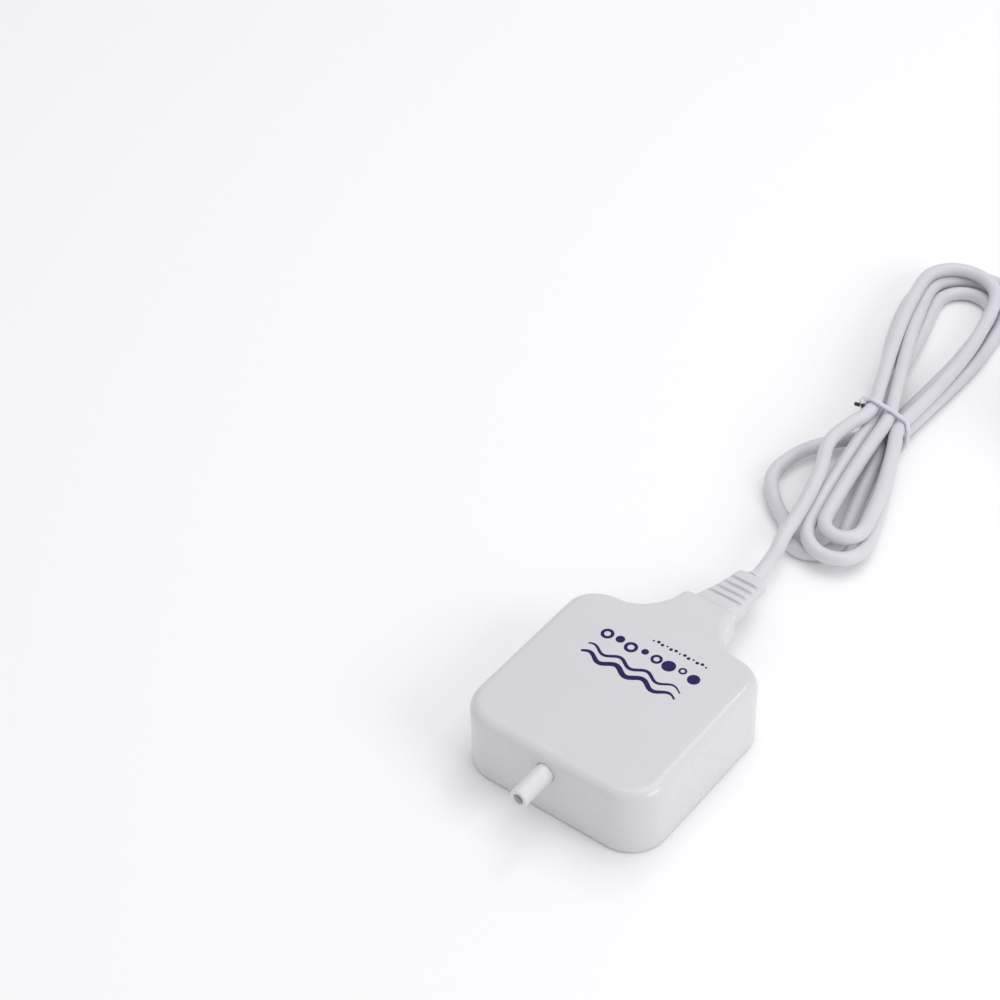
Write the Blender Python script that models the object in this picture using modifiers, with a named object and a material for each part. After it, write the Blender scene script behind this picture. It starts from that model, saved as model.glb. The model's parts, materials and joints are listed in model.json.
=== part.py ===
"""Small piezo aquarium air pump with its mains cord, tied hank and 3-pin plug.

Metres, +Z up. The origin is the centre of the square body on its resting plane.
The outlet nozzle points to -Y and the cord leaves towards +Y.
"""
import math

import bmesh
import bpy
import numpy as np
from mathutils import Matrix, Vector

MM = 0.001
GAP = 0.3 * MM                    # clearance kept between neighbouring solids

# ---- casing -----------------------------------------------------------------
BODY_HALF = 29.0 * MM             # half of the square body's side
BODY_TOP = 21.0 * MM
CORNER_R = 10.4 * MM              # vertical corners of the body
TOP_R = 3.0 * MM                  # rounding between walls and top
WALL = 1.6 * MM
RIM_Z = 0.4 * MM                  # lower rim of the top shell above the resting plane
RIM_CHAMFER = 0.4 * MM
WINDOW_HALF = 4.9 * MM            # opening for the strain relief in the neck's end wall
WINDOW_Z = (10.0 * MM, 15.7 * MM)
NECK_HALF = 8.3 * MM              # half width of the neck where the cord leaves
NECK_END = 44.0 * MM
NECK_CORNER_R = 2.0 * MM
NECK_TOP_R = 1.9 * MM
FILLET_X = 18.6 * MM              # where the hollow blend of the neck leaves the rear wall
FILLET_POWER = 1.8
TOP_SLOPE = 0.17                  # fall of the neck's top per length
TOP_SLOPE_START = 24.0 * MM
TOP_SLOPE_EASE = 2.0 * MM
UNDER_START = 29.5 * MM           # the neck's underside rises from here
UNDER_RUN = 12.0 * MM
UNDER_RISE = 8.8 * MM
PLATE_T = 2.2 * MM
VENT_R = 0.8 * MM
VENT_PITCH_R = 3.2 * MM
CUP_SEAT_R = 4.5 * MM             # recess for the suction cup
CUP_SEAT_Y = 14.0 * MM
CUP_SEAT_DEEP = 1.2 * MM
TONGUE_T = 1.5 * MM               # thickness of the plate's tongue under the cord

# ---- screws of the casing ---------------------------------------------------
BOSS_XY = 21.3 * MM
BOSS_R = 3.1 * MM
PILOT_R = 1.4 * MM
SCREW_R = 1.1 * MM
SCREW_HEAD_R = 2.4 * MM
SCREW_HEAD_H = 1.2 * MM
SCREW_LEN = 9.5 * MM

# ---- outlet nozzle ----------------------------------------------------------
NOZZLE_Z = 15.6 * MM
NOZZLE_R = 2.65 * MM
NOZZLE_BORE = 1.5 * MM
NOZZLE_TIP = -40.0 * MM
FLANGE_R = 3.2 * MM
STUB_R = 1.8 * MM                 # inner end of the nozzle, in the valve block
STUB_LEN = 3.0 * MM
SEAL_R = 2.7 * MM

# ---- pump module ------------------------------------------------------------
MODULE_Y = -5.0 * MM              # centre of the round module
BLOCK_R = 20.0 * MM
BLOCK_LOW = 10.2 * MM
BLOCK_TOP = 18.9 * MM
CHAMBER_R = 14.0 * MM
CHAMBER_TOP = 13.0 * MM
PLENUM_LOW = 14.3 * MM
PLENUM_Y = (-16.0 * MM, -4.0 * MM)
PLENUM_HALF = 5.0 * MM
COVER_LOW = 17.3 * MM
PORT_R = 1.5 * MM
OUTLET_PORT_Y = -11.0 * MM
INLET_PORT_Y = 1.8 * MM
FLAP_HALF = 2.5 * MM
FLAP_T = 0.3 * MM
FLAP_LEN = 6.5 * MM
OUTLET_HINGE = (-6.5 * MM, PLENUM_LOW + GAP + FLAP_T / 2)
INLET_HINGE = (5.8 * MM, CHAMBER_TOP - GAP - FLAP_T / 2)
MODULE_SCREW_R = 17.2 * MM        # pitch radius of the three module screws
PLATE_R = 14.5 * MM               # brass plate of the piezo bender
PLATE_LOW = 9.0 * MM
PLATE_THICK = 0.3 * MM
CERAMIC_R = 10.0 * MM
RING_LOW = 8.3 * MM
RING_R = 19.4 * MM
RING_BORE = 13.4 * MM
CLAMP_LOW = 6.0 * MM
CLAMP_R = 19.8 * MM
CLAMP_BORE = 15.0 * MM
PAD_LOW = PLATE_T + GAP
PAD_TOP = CLAMP_LOW - GAP
PAD_R = 19.5 * MM
FILTER_R = 6.0 * MM

# ---- electronics ------------------------------------------------------------
BOARD_LOW = 5.0 * MM
BOARD_T = 1.6 * MM
BOARD_Y = (17.0 * MM, 26.0 * MM)
BOARD_HALF = 17.0 * MM
BOARD_PEG = (13.0 * MM, 21.5 * MM)
LEAD_R = 0.6 * MM
FINE_LEAD_R = 0.4 * MM

# ---- cord -------------------------------------------------------------------
CORD_R = 2.1 * MM
RELIEF_WAIST_Z = 12.85 * MM
HANK_TIE = Vector((-7.4, 142.95, 0.0)) * MM
HANK_LEAN = math.radians(12.0)    # the hank's long axis leans from +Y towards -X
HANK_NEAR = 59.0 * MM             # from the tie to the hank's end near the pump
HANK_FAR = 87.8 * MM              # and to its far end
HANK_HALF_WIDE = 16.0 * MM
HANK_WAIST = 7.6 * MM
HANK_H = 13.0 * MM
TIE_R = 0.8 * MM

# ---- plug -------------------------------------------------------------------
PLUG_ENTRY = Vector((15.0, 206.5, 0.0)) * MM
PLUG_HEADING = math.radians(-30.0)
PLUG_RELIEF_LEN = 24.0 * MM
PLUG_LEN = 46.0 * MM
PLUG_WIDE = 48.0 * MM
PLUG_H = 19.0 * MM
PLUG_CORD_Z = 7.0 * MM
PIN_LINE = 15.0 * MM              # live and neutral pins from the plug's cord side
PIN_SPACING = 22.2 * MM
PIN_HALF_GAP = 11.1 * MM
PIN_SINK = 6.0 * MM


def clear_scene():
    for obj in list(bpy.data.objects):
        bpy.data.objects.remove(obj, do_unlink=True)


def make_collection(name):
    group = bpy.data.collections.new(name)
    bpy.context.scene.collection.children.link(group)
    return group


clear_scene()
PARTS = make_collection("aquarium_air_pump")
CUTTERS = make_collection("cutters")


def make_material(name, colour, roughness, metallic=0.0):
    mat = bpy.data.materials.new(name)
    mat.use_nodes = True
    shader = mat.node_tree.nodes["Principled BSDF"]
    shader.inputs["Base Color"].default_value = (*colour, 1.0)
    shader.inputs["Roughness"].default_value = roughness
    shader.inputs["Metallic"].default_value = metallic
    return mat


CASE = make_material("case_plastic", (0.70, 0.69, 0.71), 0.28)
NOZZLE = make_material("nozzle_plastic", (0.78, 0.78, 0.79), 0.35)
BLOCK = make_material("block_plastic", (0.55, 0.57, 0.60), 0.45)
SILICONE = make_material("silicone", (0.62, 0.30, 0.24), 0.6)
FLAP = make_material("flap_rubber", (0.09, 0.09, 0.10), 0.7)
BRASS = make_material("piezo_brass", (0.74, 0.54, 0.22), 0.3, 1.0)
CERAMIC = make_material("piezo_silver", (0.78, 0.78, 0.76), 0.4, 0.8)
STEEL = make_material("screw_steel", (0.56, 0.57, 0.58), 0.35, 1.0)
FOAM = make_material("foam", (0.14, 0.14, 0.15), 0.95)
FELT = make_material("felt", (0.68, 0.67, 0.62), 0.95)
BOARD = make_material("board_laminate", (0.10, 0.28, 0.14), 0.5)
RESISTOR = make_material("resistor_lacquer", (0.22, 0.34, 0.48), 0.45)
CAPACITOR = make_material("capacitor_case", (0.60, 0.42, 0.08), 0.4)
VARISTOR = make_material("varistor_epoxy", (0.07, 0.20, 0.46), 0.5)
LEAD_BROWN = make_material("lead_brown", (0.19, 0.08, 0.04), 0.5)
LEAD_BLUE = make_material("lead_blue", (0.04, 0.14, 0.44), 0.5)
LEAD_RED = make_material("lead_red", (0.52, 0.04, 0.03), 0.5)
LEAD_BLACK = make_material("lead_black", (0.03, 0.03, 0.03), 0.5)
CORD = make_material("cord_pvc", (0.68, 0.67, 0.71), 0.42)
TIE = make_material("tie_plastic", (0.72, 0.72, 0.76), 0.4)
PLUG = make_material("plug_pvc", (0.70, 0.69, 0.71), 0.45)
PIN_BRASS = make_material("pin_brass", (0.76, 0.60, 0.30), 0.25, 1.0)
FUSE = make_material("fuse_ceramic", (0.62, 0.62, 0.58), 0.4)


# ---- general shapes ---------------------------------------------------------
def add_mesh(name, bm, mat, group=PARTS):
    bmesh.ops.recalc_face_normals(bm, faces=bm.faces)
    mesh = bpy.data.meshes.new(name)
    bm.to_mesh(mesh)
    bm.free()
    obj = bpy.data.objects.new(name, mesh)
    group.objects.link(obj)
    if mat:
        mesh.materials.append(mat)
    return obj


def as_cutter(obj):
    obj.hide_render = True
    obj.display_type = "WIRE"
    return obj


def box(name, low, high, mat, group=PARTS):
    bm = bmesh.new()
    low = Vector(low)
    high = Vector(high)
    place = Matrix.Translation((low + high) / 2) @ Matrix.Diagonal((*(high - low), 1.0))
    bmesh.ops.create_cube(bm, size=1.0, matrix=place)
    return add_mesh(name, bm, mat, group)


AXIS_TURN = {
    "X": Matrix.Rotation(math.radians(90), 4, "Y"),
    "Y": Matrix.Rotation(math.radians(-90), 4, "X"),
    "Z": Matrix.Identity(4),
}


def cylinder(name, radius, start, length, axis, mat, group=PARTS, segments=24):
    """A round bar from start along +axis."""
    bm = bmesh.new()
    shift = Matrix.Translation((0, 0, length / 2))
    place = Matrix.Translation(Vector(start)) @ AXIS_TURN[axis] @ shift
    bmesh.ops.create_cone(bm, cap_ends=True, segments=segments, radius1=radius,
                          radius2=radius, depth=length, matrix=place)
    return add_mesh(name, bm, mat, group)


def boolean(obj, other, operation):
    mod = obj.modifiers.new(operation.title(), "BOOLEAN")
    mod.operation = operation
    mod.solver = "EXACT"
    mod.object = other
    as_cutter(other)


def cut_cylinder(obj, radius, start, length, axis, segments=20):
    tool = cylinder(obj.name + "_hole", radius, start, length, axis, None, CUTTERS, segments)
    boolean(obj, tool, "DIFFERENCE")


def cut_box(obj, low, high):
    boolean(obj, box(obj.name + "_pocket", low, high, None, CUTTERS), "DIFFERENCE")


def add_bevel(obj, width, segments=2, angle=40.0):
    mod = obj.modifiers.new("Bevel", "BEVEL")
    mod.width = width
    mod.segments = segments
    mod.limit_method = "ANGLE"
    mod.angle_limit = math.radians(angle)


def turned(name, profile, place, mat, steps=32):
    """Profile of (radius, height) down the outer side and back up the bore, turned about local Z."""
    bm = bmesh.new()
    ring = [bm.verts.new((r, 0.0, z)) for r, z in profile]
    for a, b in zip(ring, ring[1:] + ring[:1]):
        bm.edges.new((a, b))
    mesh = bpy.data.meshes.new(name)
    bm.to_mesh(mesh)
    bm.free()
    obj = bpy.data.objects.new(name, mesh)
    PARTS.objects.link(obj)
    mesh.materials.append(mat)
    obj.matrix_world = place
    mod = obj.modifiers.new("Screw", "SCREW")
    mod.steps = steps
    mod.render_steps = steps
    mod.use_merge_vertices = True
    mod.merge_threshold = 0.01 * MM
    return obj


def smooth_curve(points, spacing):
    """Evenly spaced points on a Catmull-Rom curve through the route's own points."""
    pts = [Vector(p) for p in points]
    pts = [2 * pts[0] - pts[1]] + pts + [2 * pts[-1] - pts[-2]]
    fine = []
    for a, b, c, d in zip(pts, pts[1:], pts[2:], pts[3:]):
        for i in range(24):
            t = i / 24
            fine.append(0.5 * (2 * b + (c - a) * t + (2 * a - 5 * b + 4 * c - d) * t * t
                               + (3 * b - a - 3 * c + d) * t ** 3))
    fine.append(pts[-2])
    run = np.cumsum([0.0] + [(q - p).length for p, q in zip(fine, fine[1:])])
    count = max(2, round(run[-1] / spacing) + 1)
    want = np.linspace(0.0, run[-1], count)
    flat = np.array([tuple(p) for p in fine])
    return [Vector(np.array([np.interp(w, run, flat[:, k]) for k in range(3)])) for w in want]


def tube(name, points, radius, mat, resolution=2, closed=False):
    curve = bpy.data.curves.new(name, "CURVE")
    curve.dimensions = "3D"
    curve.bevel_depth = radius
    curve.bevel_resolution = resolution
    curve.use_fill_caps = True
    line = curve.splines.new("POLY")
    line.points.add(len(points) - 1)
    line.use_cyclic_u = closed
    for point, spot in zip(line.points, points):
        point.co = (*spot, 1.0)
    curve.materials.append(mat)
    obj = bpy.data.objects.new(name, curve)
    PARTS.objects.link(obj)
    if not closed:
        weld = obj.modifiers.new("Weld", "WELD")
        weld.merge_threshold = 0.01 * MM
    return obj


def loft(name, rings, mat):
    """A closed solid through rings of equal point counts, with flat ends."""
    bm = bmesh.new()
    rows = [[bm.verts.new(p) for p in ring] for ring in rings]
    for low, high in zip(rows, rows[1:]):
        for i in range(len(low)):
            j = (i + 1) % len(low)
            bm.faces.new((low[i], low[j], high[j], high[i]))
    bm.faces.new(rows[0])
    bm.faces.new(list(reversed(rows[-1])))
    return add_mesh(name, bm, mat)


# ---- casing -----------------------------------------------------------------
def casing_top(y):
    """Height of the top at a distance along the body: level, then falling along the neck."""
    run = y - TOP_SLOPE_START
    return BODY_TOP - TOP_SLOPE * (math.sqrt(run * run + TOP_SLOPE_EASE ** 2) + run) / 2


def casing_under(y):
    """Rise of the underside along the neck."""
    t = min(max((y - UNDER_START) / UNDER_RUN, 0.0), 1.0)
    return UNDER_RISE * t * t * (3 - 2 * t)


def plate_top(y):
    rise = casing_under(y)
    return rise + PLATE_T + (TONGUE_T - PLATE_T) * rise / UNDER_RISE


def edge_radius(y):
    t = min(max((y - BODY_HALF) / (NECK_END - NECK_CORNER_R - BODY_HALF), 0.0), 1.0)
    return TOP_R + (NECK_TOP_R - TOP_R) * t


def half_outline():
    """Points and outward normals of the right half of the outline, from nozzle side to neck."""
    spots = []

    def arc(cx, cy, radius, start, end, steps):
        for i in range(steps + 1):
            a = math.radians(start + (end - start) * i / steps)
            spots.append(((cx + radius * math.cos(a), cy + radius * math.sin(a)),
                          (math.cos(a), math.sin(a))))

    inner = BODY_HALF - CORNER_R
    arc(inner, -inner, CORNER_R, -90, 0, 7)
    arc(inner, inner, CORNER_R, 0, 90, 7)
    wide = FILLET_X - NECK_HALF
    deep = NECK_END - NECK_CORNER_R - BODY_HALF
    for i in range(1, 9):
        a = math.radians(90 * i / 8)
        w = math.sin(a) ** (2 / FILLET_POWER)
        u = max(math.cos(a), 0.0) ** (2 / FILLET_POWER)
        normal = Vector((w ** (FILLET_POWER - 1) / wide, u ** (FILLET_POWER - 1) / deep))
        normal.normalize()
        spots.append(((FILLET_X - wide * w, NECK_END - NECK_CORNER_R - deep * u), tuple(normal)))
    arc(NECK_HALF - NECK_CORNER_R, NECK_END - NECK_CORNER_R, NECK_CORNER_R, 22.5, 90, 3)
    return spots


def outline_ring(inset, height):
    """One closed ring; inset and height are functions of the place along Y."""
    right = []
    for (x, y), (nx, ny) in half_outline():
        d = inset(y)
        right.append((x - nx * d, y - ny * d, height(y)))
    return right + [(-x, y, z) for x, y, z in reversed(right)]


def strips(bm, row):
    """Cross strips that close a ring whose two halves mirror each other."""
    n = len(row)
    for i in range(n // 2 - 1):
        bm.faces.new((row[i], row[i + 1], row[n - 2 - i], row[n - 1 - i]))


def make_top_shell():
    rings = [
        outline_ring(lambda y: RIM_CHAMFER * 0.6, lambda y: casing_under(y) + RIM_Z),
        outline_ring(lambda y: 0.0, lambda y: casing_under(y) + RIM_Z + RIM_CHAMFER),
    ]
    for turn in (0, 22.5, 45, 67.5, 90):
        c = 1 - math.cos(math.radians(turn))
        s = 1 - math.sin(math.radians(turn))
        rings.append(outline_ring(lambda y: edge_radius(y) * c,
                                  lambda y: casing_top(y) - edge_radius(y) * s))
    bm = bmesh.new()
    rows = [[bm.verts.new(p) for p in ring] for ring in rings]
    for low, high in zip(rows, rows[1:]):
        for i in range(len(low)):
            j = (i + 1) % len(low)
            bm.faces.new((low[i], low[j], high[j], high[i]))
    strips(bm, rows[-1])
    shell = add_mesh("top_shell", bm, CASE)
    skin = shell.modifiers.new("Solidify", "SOLIDIFY")
    skin.thickness = WALL
    skin.offset = -1.0
    skin.use_even_offset = True
    for name, x, y in corner_places():
        boss = cylinder("boss_" + name, BOSS_R, (x, y, PLATE_T + GAP),
                        BODY_TOP - WALL / 2 - PLATE_T - GAP, "Z", None, CUTTERS)
        boolean(shell, boss, "UNION")
        cut_cylinder(shell, PILOT_R, (x, y, 0), SCREW_LEN + 2 * MM, "Z", 16)
    cut_cylinder(shell, NOZZLE_R + GAP, (0, -BODY_HALF - 2 * MM, NOZZLE_Z), 6 * MM, "Y", 32)
    cut_box(shell, (-WINDOW_HALF, NECK_END - WALL - 2 * MM, WINDOW_Z[0]),
            (WINDOW_HALF, NECK_END + 2 * MM, WINDOW_Z[1]))


def corner_places():
    return [(fb + "_" + lr, sx * BOSS_XY, sy * BOSS_XY)
            for fb, sy in (("front", -1), ("rear", 1))
            for lr, sx in (("left", -1), ("right", 1))]


def make_base_plate():
    """The plate lies inside the shell's rim; its tongue closes the neck from below."""
    inset = WALL + GAP
    rings = [outline_ring(lambda y: inset + 0.3 * MM, casing_under),
             outline_ring(lambda y: inset, lambda y: casing_under(y) + 0.4 * MM),
             outline_ring(lambda y: inset, plate_top)]
    bm = bmesh.new()
    rows = [[bm.verts.new(p) for p in ring] for ring in rings]
    for low, high in zip(rows, rows[1:]):
        for i in range(len(low)):
            j = (i + 1) % len(low)
            bm.faces.new((low[i], low[j], high[j], high[i]))
    strips(bm, rows[0])
    strips(bm, rows[-1])
    plate = add_mesh("base_plate", bm, CASE)
    for side in (-1, 1):
        peg = cylinder("board_peg", 1.6 * MM, (side * BOARD_PEG[0], BOARD_PEG[1], 1.0 * MM),
                       BOARD_LOW - GAP - 1.0 * MM, "Z", None, CUTTERS, 16)
        boolean(plate, peg, "UNION")
    for name, x, y in corner_places():
        cut_cylinder(plate, SCREW_R + GAP, (x, y, -1 * MM), 5 * MM, "Z", 16)
        cut_cylinder(plate, SCREW_HEAD_R + GAP, (x, y, -1 * MM), 1 * MM + SCREW_HEAD_H + GAP, "Z")
    cut_cylinder(plate, VENT_R, (0, MODULE_Y, -1 * MM), 5 * MM, "Z", 10)
    for i in range(6):
        a = math.radians(60 * i)
        spot = (VENT_PITCH_R * math.cos(a), MODULE_Y + VENT_PITCH_R * math.sin(a), -1 * MM)
        cut_cylinder(plate, VENT_R, spot, 5 * MM, "Z", 10)
    cut_cylinder(plate, CUP_SEAT_R, (0, CUP_SEAT_Y, -1 * MM), CUP_SEAT_DEEP + 1 * MM, "Z", 28)


def make_case_screws():
    for name, x, y in corner_places():
        head = GAP
        profile = [(SCREW_R * 0.4, head + SCREW_HEAD_H + SCREW_LEN),
                   (SCREW_R, head + SCREW_HEAD_H + SCREW_LEN - 1.2 * MM),
                   (SCREW_R, head + SCREW_HEAD_H),
                   (SCREW_HEAD_R, head + SCREW_HEAD_H - 0.1 * MM),
                   (SCREW_HEAD_R, head + 0.4 * MM),
                   (SCREW_HEAD_R * 0.75, head),
                   (0.0, head),
                   (0.0, head + SCREW_HEAD_H + SCREW_LEN)]
        screw = turned("case_screw_" + name, profile, Matrix.Translation((x, y, 0)), STEEL, 20)
        for size in ((1.5, 0.3), (0.3, 1.5)):
            cut_box(screw, (x - size[0] * MM, y - size[1] * MM, -1 * MM),
                    (x + size[0] * MM, y + size[1] * MM, head + 0.6 * MM))


# ---- outlet -----------------------------------------------------------------
def make_nozzle():
    """Turned about Y; the profile runs out along the tube to its tip and back up the bore."""
    wall_in = -BODY_HALF + WALL
    block_front = MODULE_Y - BLOCK_R
    profile = [(STUB_R, block_front + STUB_LEN),
               (STUB_R, block_front - GAP),
               (FLANGE_R, block_front - GAP),
               (FLANGE_R, wall_in + GAP),
               (NOZZLE_R, wall_in + GAP),
               (NOZZLE_R, NOZZLE_TIP + 0.35 * MM),
               (NOZZLE_R - 0.35 * MM, NOZZLE_TIP),
               (NOZZLE_BORE + 0.25 * MM, NOZZLE_TIP),
               (NOZZLE_BORE, NOZZLE_TIP + 0.3 * MM),
               (NOZZLE_BORE, wall_in - 0.6 * MM),
               (1.1 * MM, wall_in),
               (1.1 * MM, block_front + STUB_LEN)]
    place = Matrix.Translation((0, 0, NOZZLE_Z)) @ AXIS_TURN["Y"]
    return turned("outlet_nozzle", profile, place, NOZZLE, 36)


def make_nozzle_seal():
    front = MODULE_Y - BLOCK_R
    inner = STUB_R + GAP
    profile = [(SEAL_R, front + 1.2 * MM), (SEAL_R, front + 0.2 * MM),
               (inner, front + 0.2 * MM), (inner, front + 1.2 * MM)]
    place = Matrix.Translation((0, 0, NOZZLE_Z)) @ AXIS_TURN["Y"]
    return turned("nozzle_seal", profile, place, SILICONE, 24)


# ---- pump module ------------------------------------------------------------
def module_screw_places():
    for i in range(3):
        a = math.radians(30 + 120 * i)
        yield i + 1, MODULE_SCREW_R * math.cos(a), MODULE_Y + MODULE_SCREW_R * math.sin(a)


def make_valve_block():
    block = cylinder("valve_block", BLOCK_R, (0, MODULE_Y, BLOCK_LOW), BLOCK_TOP - BLOCK_LOW, "Z",
                     BLOCK, PARTS, 48)
    cut_cylinder(block, CHAMBER_R, (0, MODULE_Y, BLOCK_LOW - 1 * MM),
                 CHAMBER_TOP - BLOCK_LOW + 1 * MM, "Z", 40)
    cut_box(block, (-PLENUM_HALF, PLENUM_Y[0], PLENUM_LOW), (PLENUM_HALF, PLENUM_Y[1], 25 * MM))
    cut_box(block, (-PLENUM_HALF - 1.5 * MM, PLENUM_Y[0] - 1.5 * MM, COVER_LOW),
            (PLENUM_HALF + 1.5 * MM, PLENUM_Y[1] + 1.5 * MM, 25 * MM))
    cut_cylinder(block, PORT_R, (0, OUTLET_PORT_Y, 12 * MM), 4 * MM, "Z", 16)
    cut_cylinder(block, PORT_R, (0, INLET_PORT_Y, 12 * MM), 10 * MM, "Z", 16)
    front = MODULE_Y - BLOCK_R
    cut_cylinder(block, STUB_R + GAP, (0, front - 1 * MM, NOZZLE_Z), 5.0 * MM, "Y", 24)
    cut_cylinder(block, SEAL_R + GAP, (0, front - 1 * MM, NOZZLE_Z), 2.5 * MM, "Y", 28)
    cut_cylinder(block, 1.1 * MM, (0, front + 1 * MM, NOZZLE_Z), 9.0 * MM, "Y", 16)
    for number, x, y in module_screw_places():
        cut_cylinder(block, 1.1 * MM, (x, y, BLOCK_LOW - 1 * MM), 5.5 * MM, "Z", 12)


def make_valve_cover():
    lip = 1.5 * MM - GAP
    return box("valve_cover", (-PLENUM_HALF - lip, PLENUM_Y[0] - lip, COVER_LOW + GAP),
               (PLENUM_HALF + lip, PLENUM_Y[1] + lip, BLOCK_TOP), BLOCK)


def make_flap(name, hinge):
    """A rubber tongue with a round end, hinged along X and pointing to -Y."""
    y, z = hinge
    bm = bmesh.new()
    steps = 8
    edge = [(-FLAP_HALF, 0.0), (FLAP_HALF, 0.0)]
    for i in range(steps + 1):
        a = math.pi * i / steps
        edge.append((FLAP_HALF * math.cos(a), -(FLAP_LEN - FLAP_HALF) - FLAP_HALF * math.sin(a)))
    base = bm.faces.new([bm.verts.new((x, d, -FLAP_T / 2)) for x, d in edge])
    grown = bmesh.ops.extrude_face_region(bm, geom=[base])
    top = [v for v in grown["geom"] if isinstance(v, bmesh.types.BMVert)]
    bmesh.ops.translate(bm, verts=top, vec=(0, 0, FLAP_T))
    flap = add_mesh(name, bm, FLAP)
    flap.location = (0, y, z)
    return flap


def make_bender():
    centre = Matrix.Translation((0, MODULE_Y, 0))
    groove_low = PLATE_LOW - GAP
    groove_high = PLATE_LOW + PLATE_THICK + GAP
    ring_top = BLOCK_LOW - GAP
    ring = turned("diaphragm_ring",
                  [(RING_R, ring_top), (RING_R, RING_LOW), (RING_BORE, RING_LOW),
                   (RING_BORE, groove_low), (PLATE_R + GAP, groove_low),
                   (PLATE_R + GAP, groove_high), (RING_BORE, groove_high), (RING_BORE, ring_top)],
                  centre, SILICONE, 40)
    for number, x, y in module_screw_places():
        cut_cylinder(ring, 1.2 * MM, (x, y, RING_LOW - 1 * MM), 5 * MM, "Z", 12)
    cylinder("piezo_plate", PLATE_R, (0, MODULE_Y, PLATE_LOW), PLATE_THICK, "Z", BRASS, PARTS, 40)
    cylinder("piezo_ceramic", CERAMIC_R, (0, MODULE_Y, PLATE_LOW - GAP - 0.3 * MM), 0.3 * MM, "Z",
             CERAMIC, PARTS, 36)


def make_clamp_ring():
    top = RING_LOW - GAP
    ring = turned("clamp_ring",
                  [(CLAMP_R, top), (CLAMP_R, CLAMP_LOW), (CLAMP_BORE, CLAMP_LOW),
                   (CLAMP_BORE, top)], Matrix.Translation((0, MODULE_Y, 0)), BLOCK, 44)
    for number, x, y in module_screw_places():
        cut_cylinder(ring, 1.9 * MM, (x, y, CLAMP_LOW - 1 * MM), 1.9 * MM, "Z", 16)
        cut_cylinder(ring, 1.1 * MM, (x, y, CLAMP_LOW - 2 * MM), 6 * MM, "Z", 12)
    cut_box(ring, (-5 * MM, 8 * MM, CLAMP_LOW - 1 * MM), (5 * MM, 16 * MM, CLAMP_LOW + 1.6 * MM))


def make_module_screws():
    for number, x, y in module_screw_places():
        low = CLAMP_LOW + 0.1 * MM
        profile = [(0.3 * MM, low + 7.0 * MM), (0.8 * MM, low + 6.4 * MM),
                   (0.8 * MM, low + 0.6 * MM), (1.6 * MM, low + 0.6 * MM), (1.6 * MM, low),
                   (0.0, low), (0.0, low + 7.0 * MM)]
        turned("module_screw_%d" % number, profile, Matrix.Translation((x, y, 0)), STEEL, 14)


def make_pads():
    turned("silencer_pad",
           [(PAD_R, PAD_TOP), (PAD_R, PAD_LOW), (FILTER_R + GAP, PAD_LOW), (FILTER_R + GAP, PAD_TOP)],
           Matrix.Translation((0, MODULE_Y, 0)), FOAM, 40)
    cylinder("inlet_filter", FILTER_R, (0, MODULE_Y, PAD_LOW), PAD_TOP - PAD_LOW - 0.4 * MM, "Z",
             FELT, PARTS, 28)


# ---- electronics ------------------------------------------------------------
def make_electronics():
    top = BOARD_LOW + BOARD_T
    box("circuit_board", (-BOARD_HALF, BOARD_Y[0], BOARD_LOW), (BOARD_HALF, BOARD_Y[1], top), BOARD)
    seat = top + GAP
    cylinder("fuse_resistor", 1.7 * MM, (-15 * MM, 20 * MM, seat + 1.7 * MM), 8 * MM, "X", RESISTOR)
    capacitor = box("film_capacitor", (-4.5 * MM, 18.2 * MM, seat), (4.5 * MM, 22.2 * MM, seat + 7 * MM),
                    CAPACITOR)
    add_bevel(capacitor, 0.5 * MM)
    varistor = cylinder("varistor", 3.4 * MM, (10 * MM, 18.6 * MM, seat + 3.4 * MM), 2.6 * MM, "Y",
                        VARISTOR)
    add_bevel(varistor, 0.6 * MM)


def make_leads():
    board_top = BOARD_LOW + BOARD_T + GAP
    for name, side, mat in (("mains_lead_live", 1, LEAD_BROWN), ("mains_lead_neutral", -1, LEAD_BLUE)):
        route = [(side * 0.95 * MM, 33.6 * MM, 13.0 * MM), (side * 1.4 * MM, 31.5 * MM, 12.8 * MM),
                 (side * 3.4 * MM, 28.5 * MM, 11.8 * MM), (side * 5.8 * MM, 25.6 * MM, 10.2 * MM),
                 (side * 6.6 * MM, 24.3 * MM, 8.4 * MM),
                 (side * 6.6 * MM, 24.2 * MM, board_top)]
        tube(name, smooth_curve(route, 1.6 * MM), LEAD_R, mat, 2)
    plate_low = PLATE_LOW - GAP - FINE_LEAD_R
    ceramic_low = plate_low - 0.6 * MM
    for name, side, reach, low, mat in (("piezo_lead_plate", 1, 6.6, plate_low, LEAD_RED),
                                        ("piezo_lead_ceramic", -1, 1.5, ceramic_low, LEAD_BLACK)):
        route = [(side * 3.0 * MM, 17.9 * MM, board_top + FINE_LEAD_R),
                 (side * 3.0 * MM, 16.2 * MM, board_top + FINE_LEAD_R),
                 (side * 3.0 * MM, 14.2 * MM, 6.8 * MM), (side * 3.0 * MM, 11.0 * MM, 6.7 * MM),
                 (side * 3.0 * MM, 8.6 * MM, 7.0 * MM), (side * 2.8 * MM, reach * MM, low)]
        tube(name, smooth_curve(route, 1.2 * MM), FINE_LEAD_R, mat, 2)


# ---- strain relief and cord -------------------------------------------------
def relief_section(y, half_wide, half_high, centre_z):
    """A rounded flat section across the cord."""
    ring = []
    for i in range(20):
        a = 2 * math.pi * i / 20
        c = math.copysign(abs(math.cos(a)) ** 0.75, math.cos(a))
        s = math.copysign(abs(math.sin(a)) ** 0.75, math.sin(a))
        ring.append((half_wide * c, y, centre_z + half_high * s))
    return ring


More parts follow.
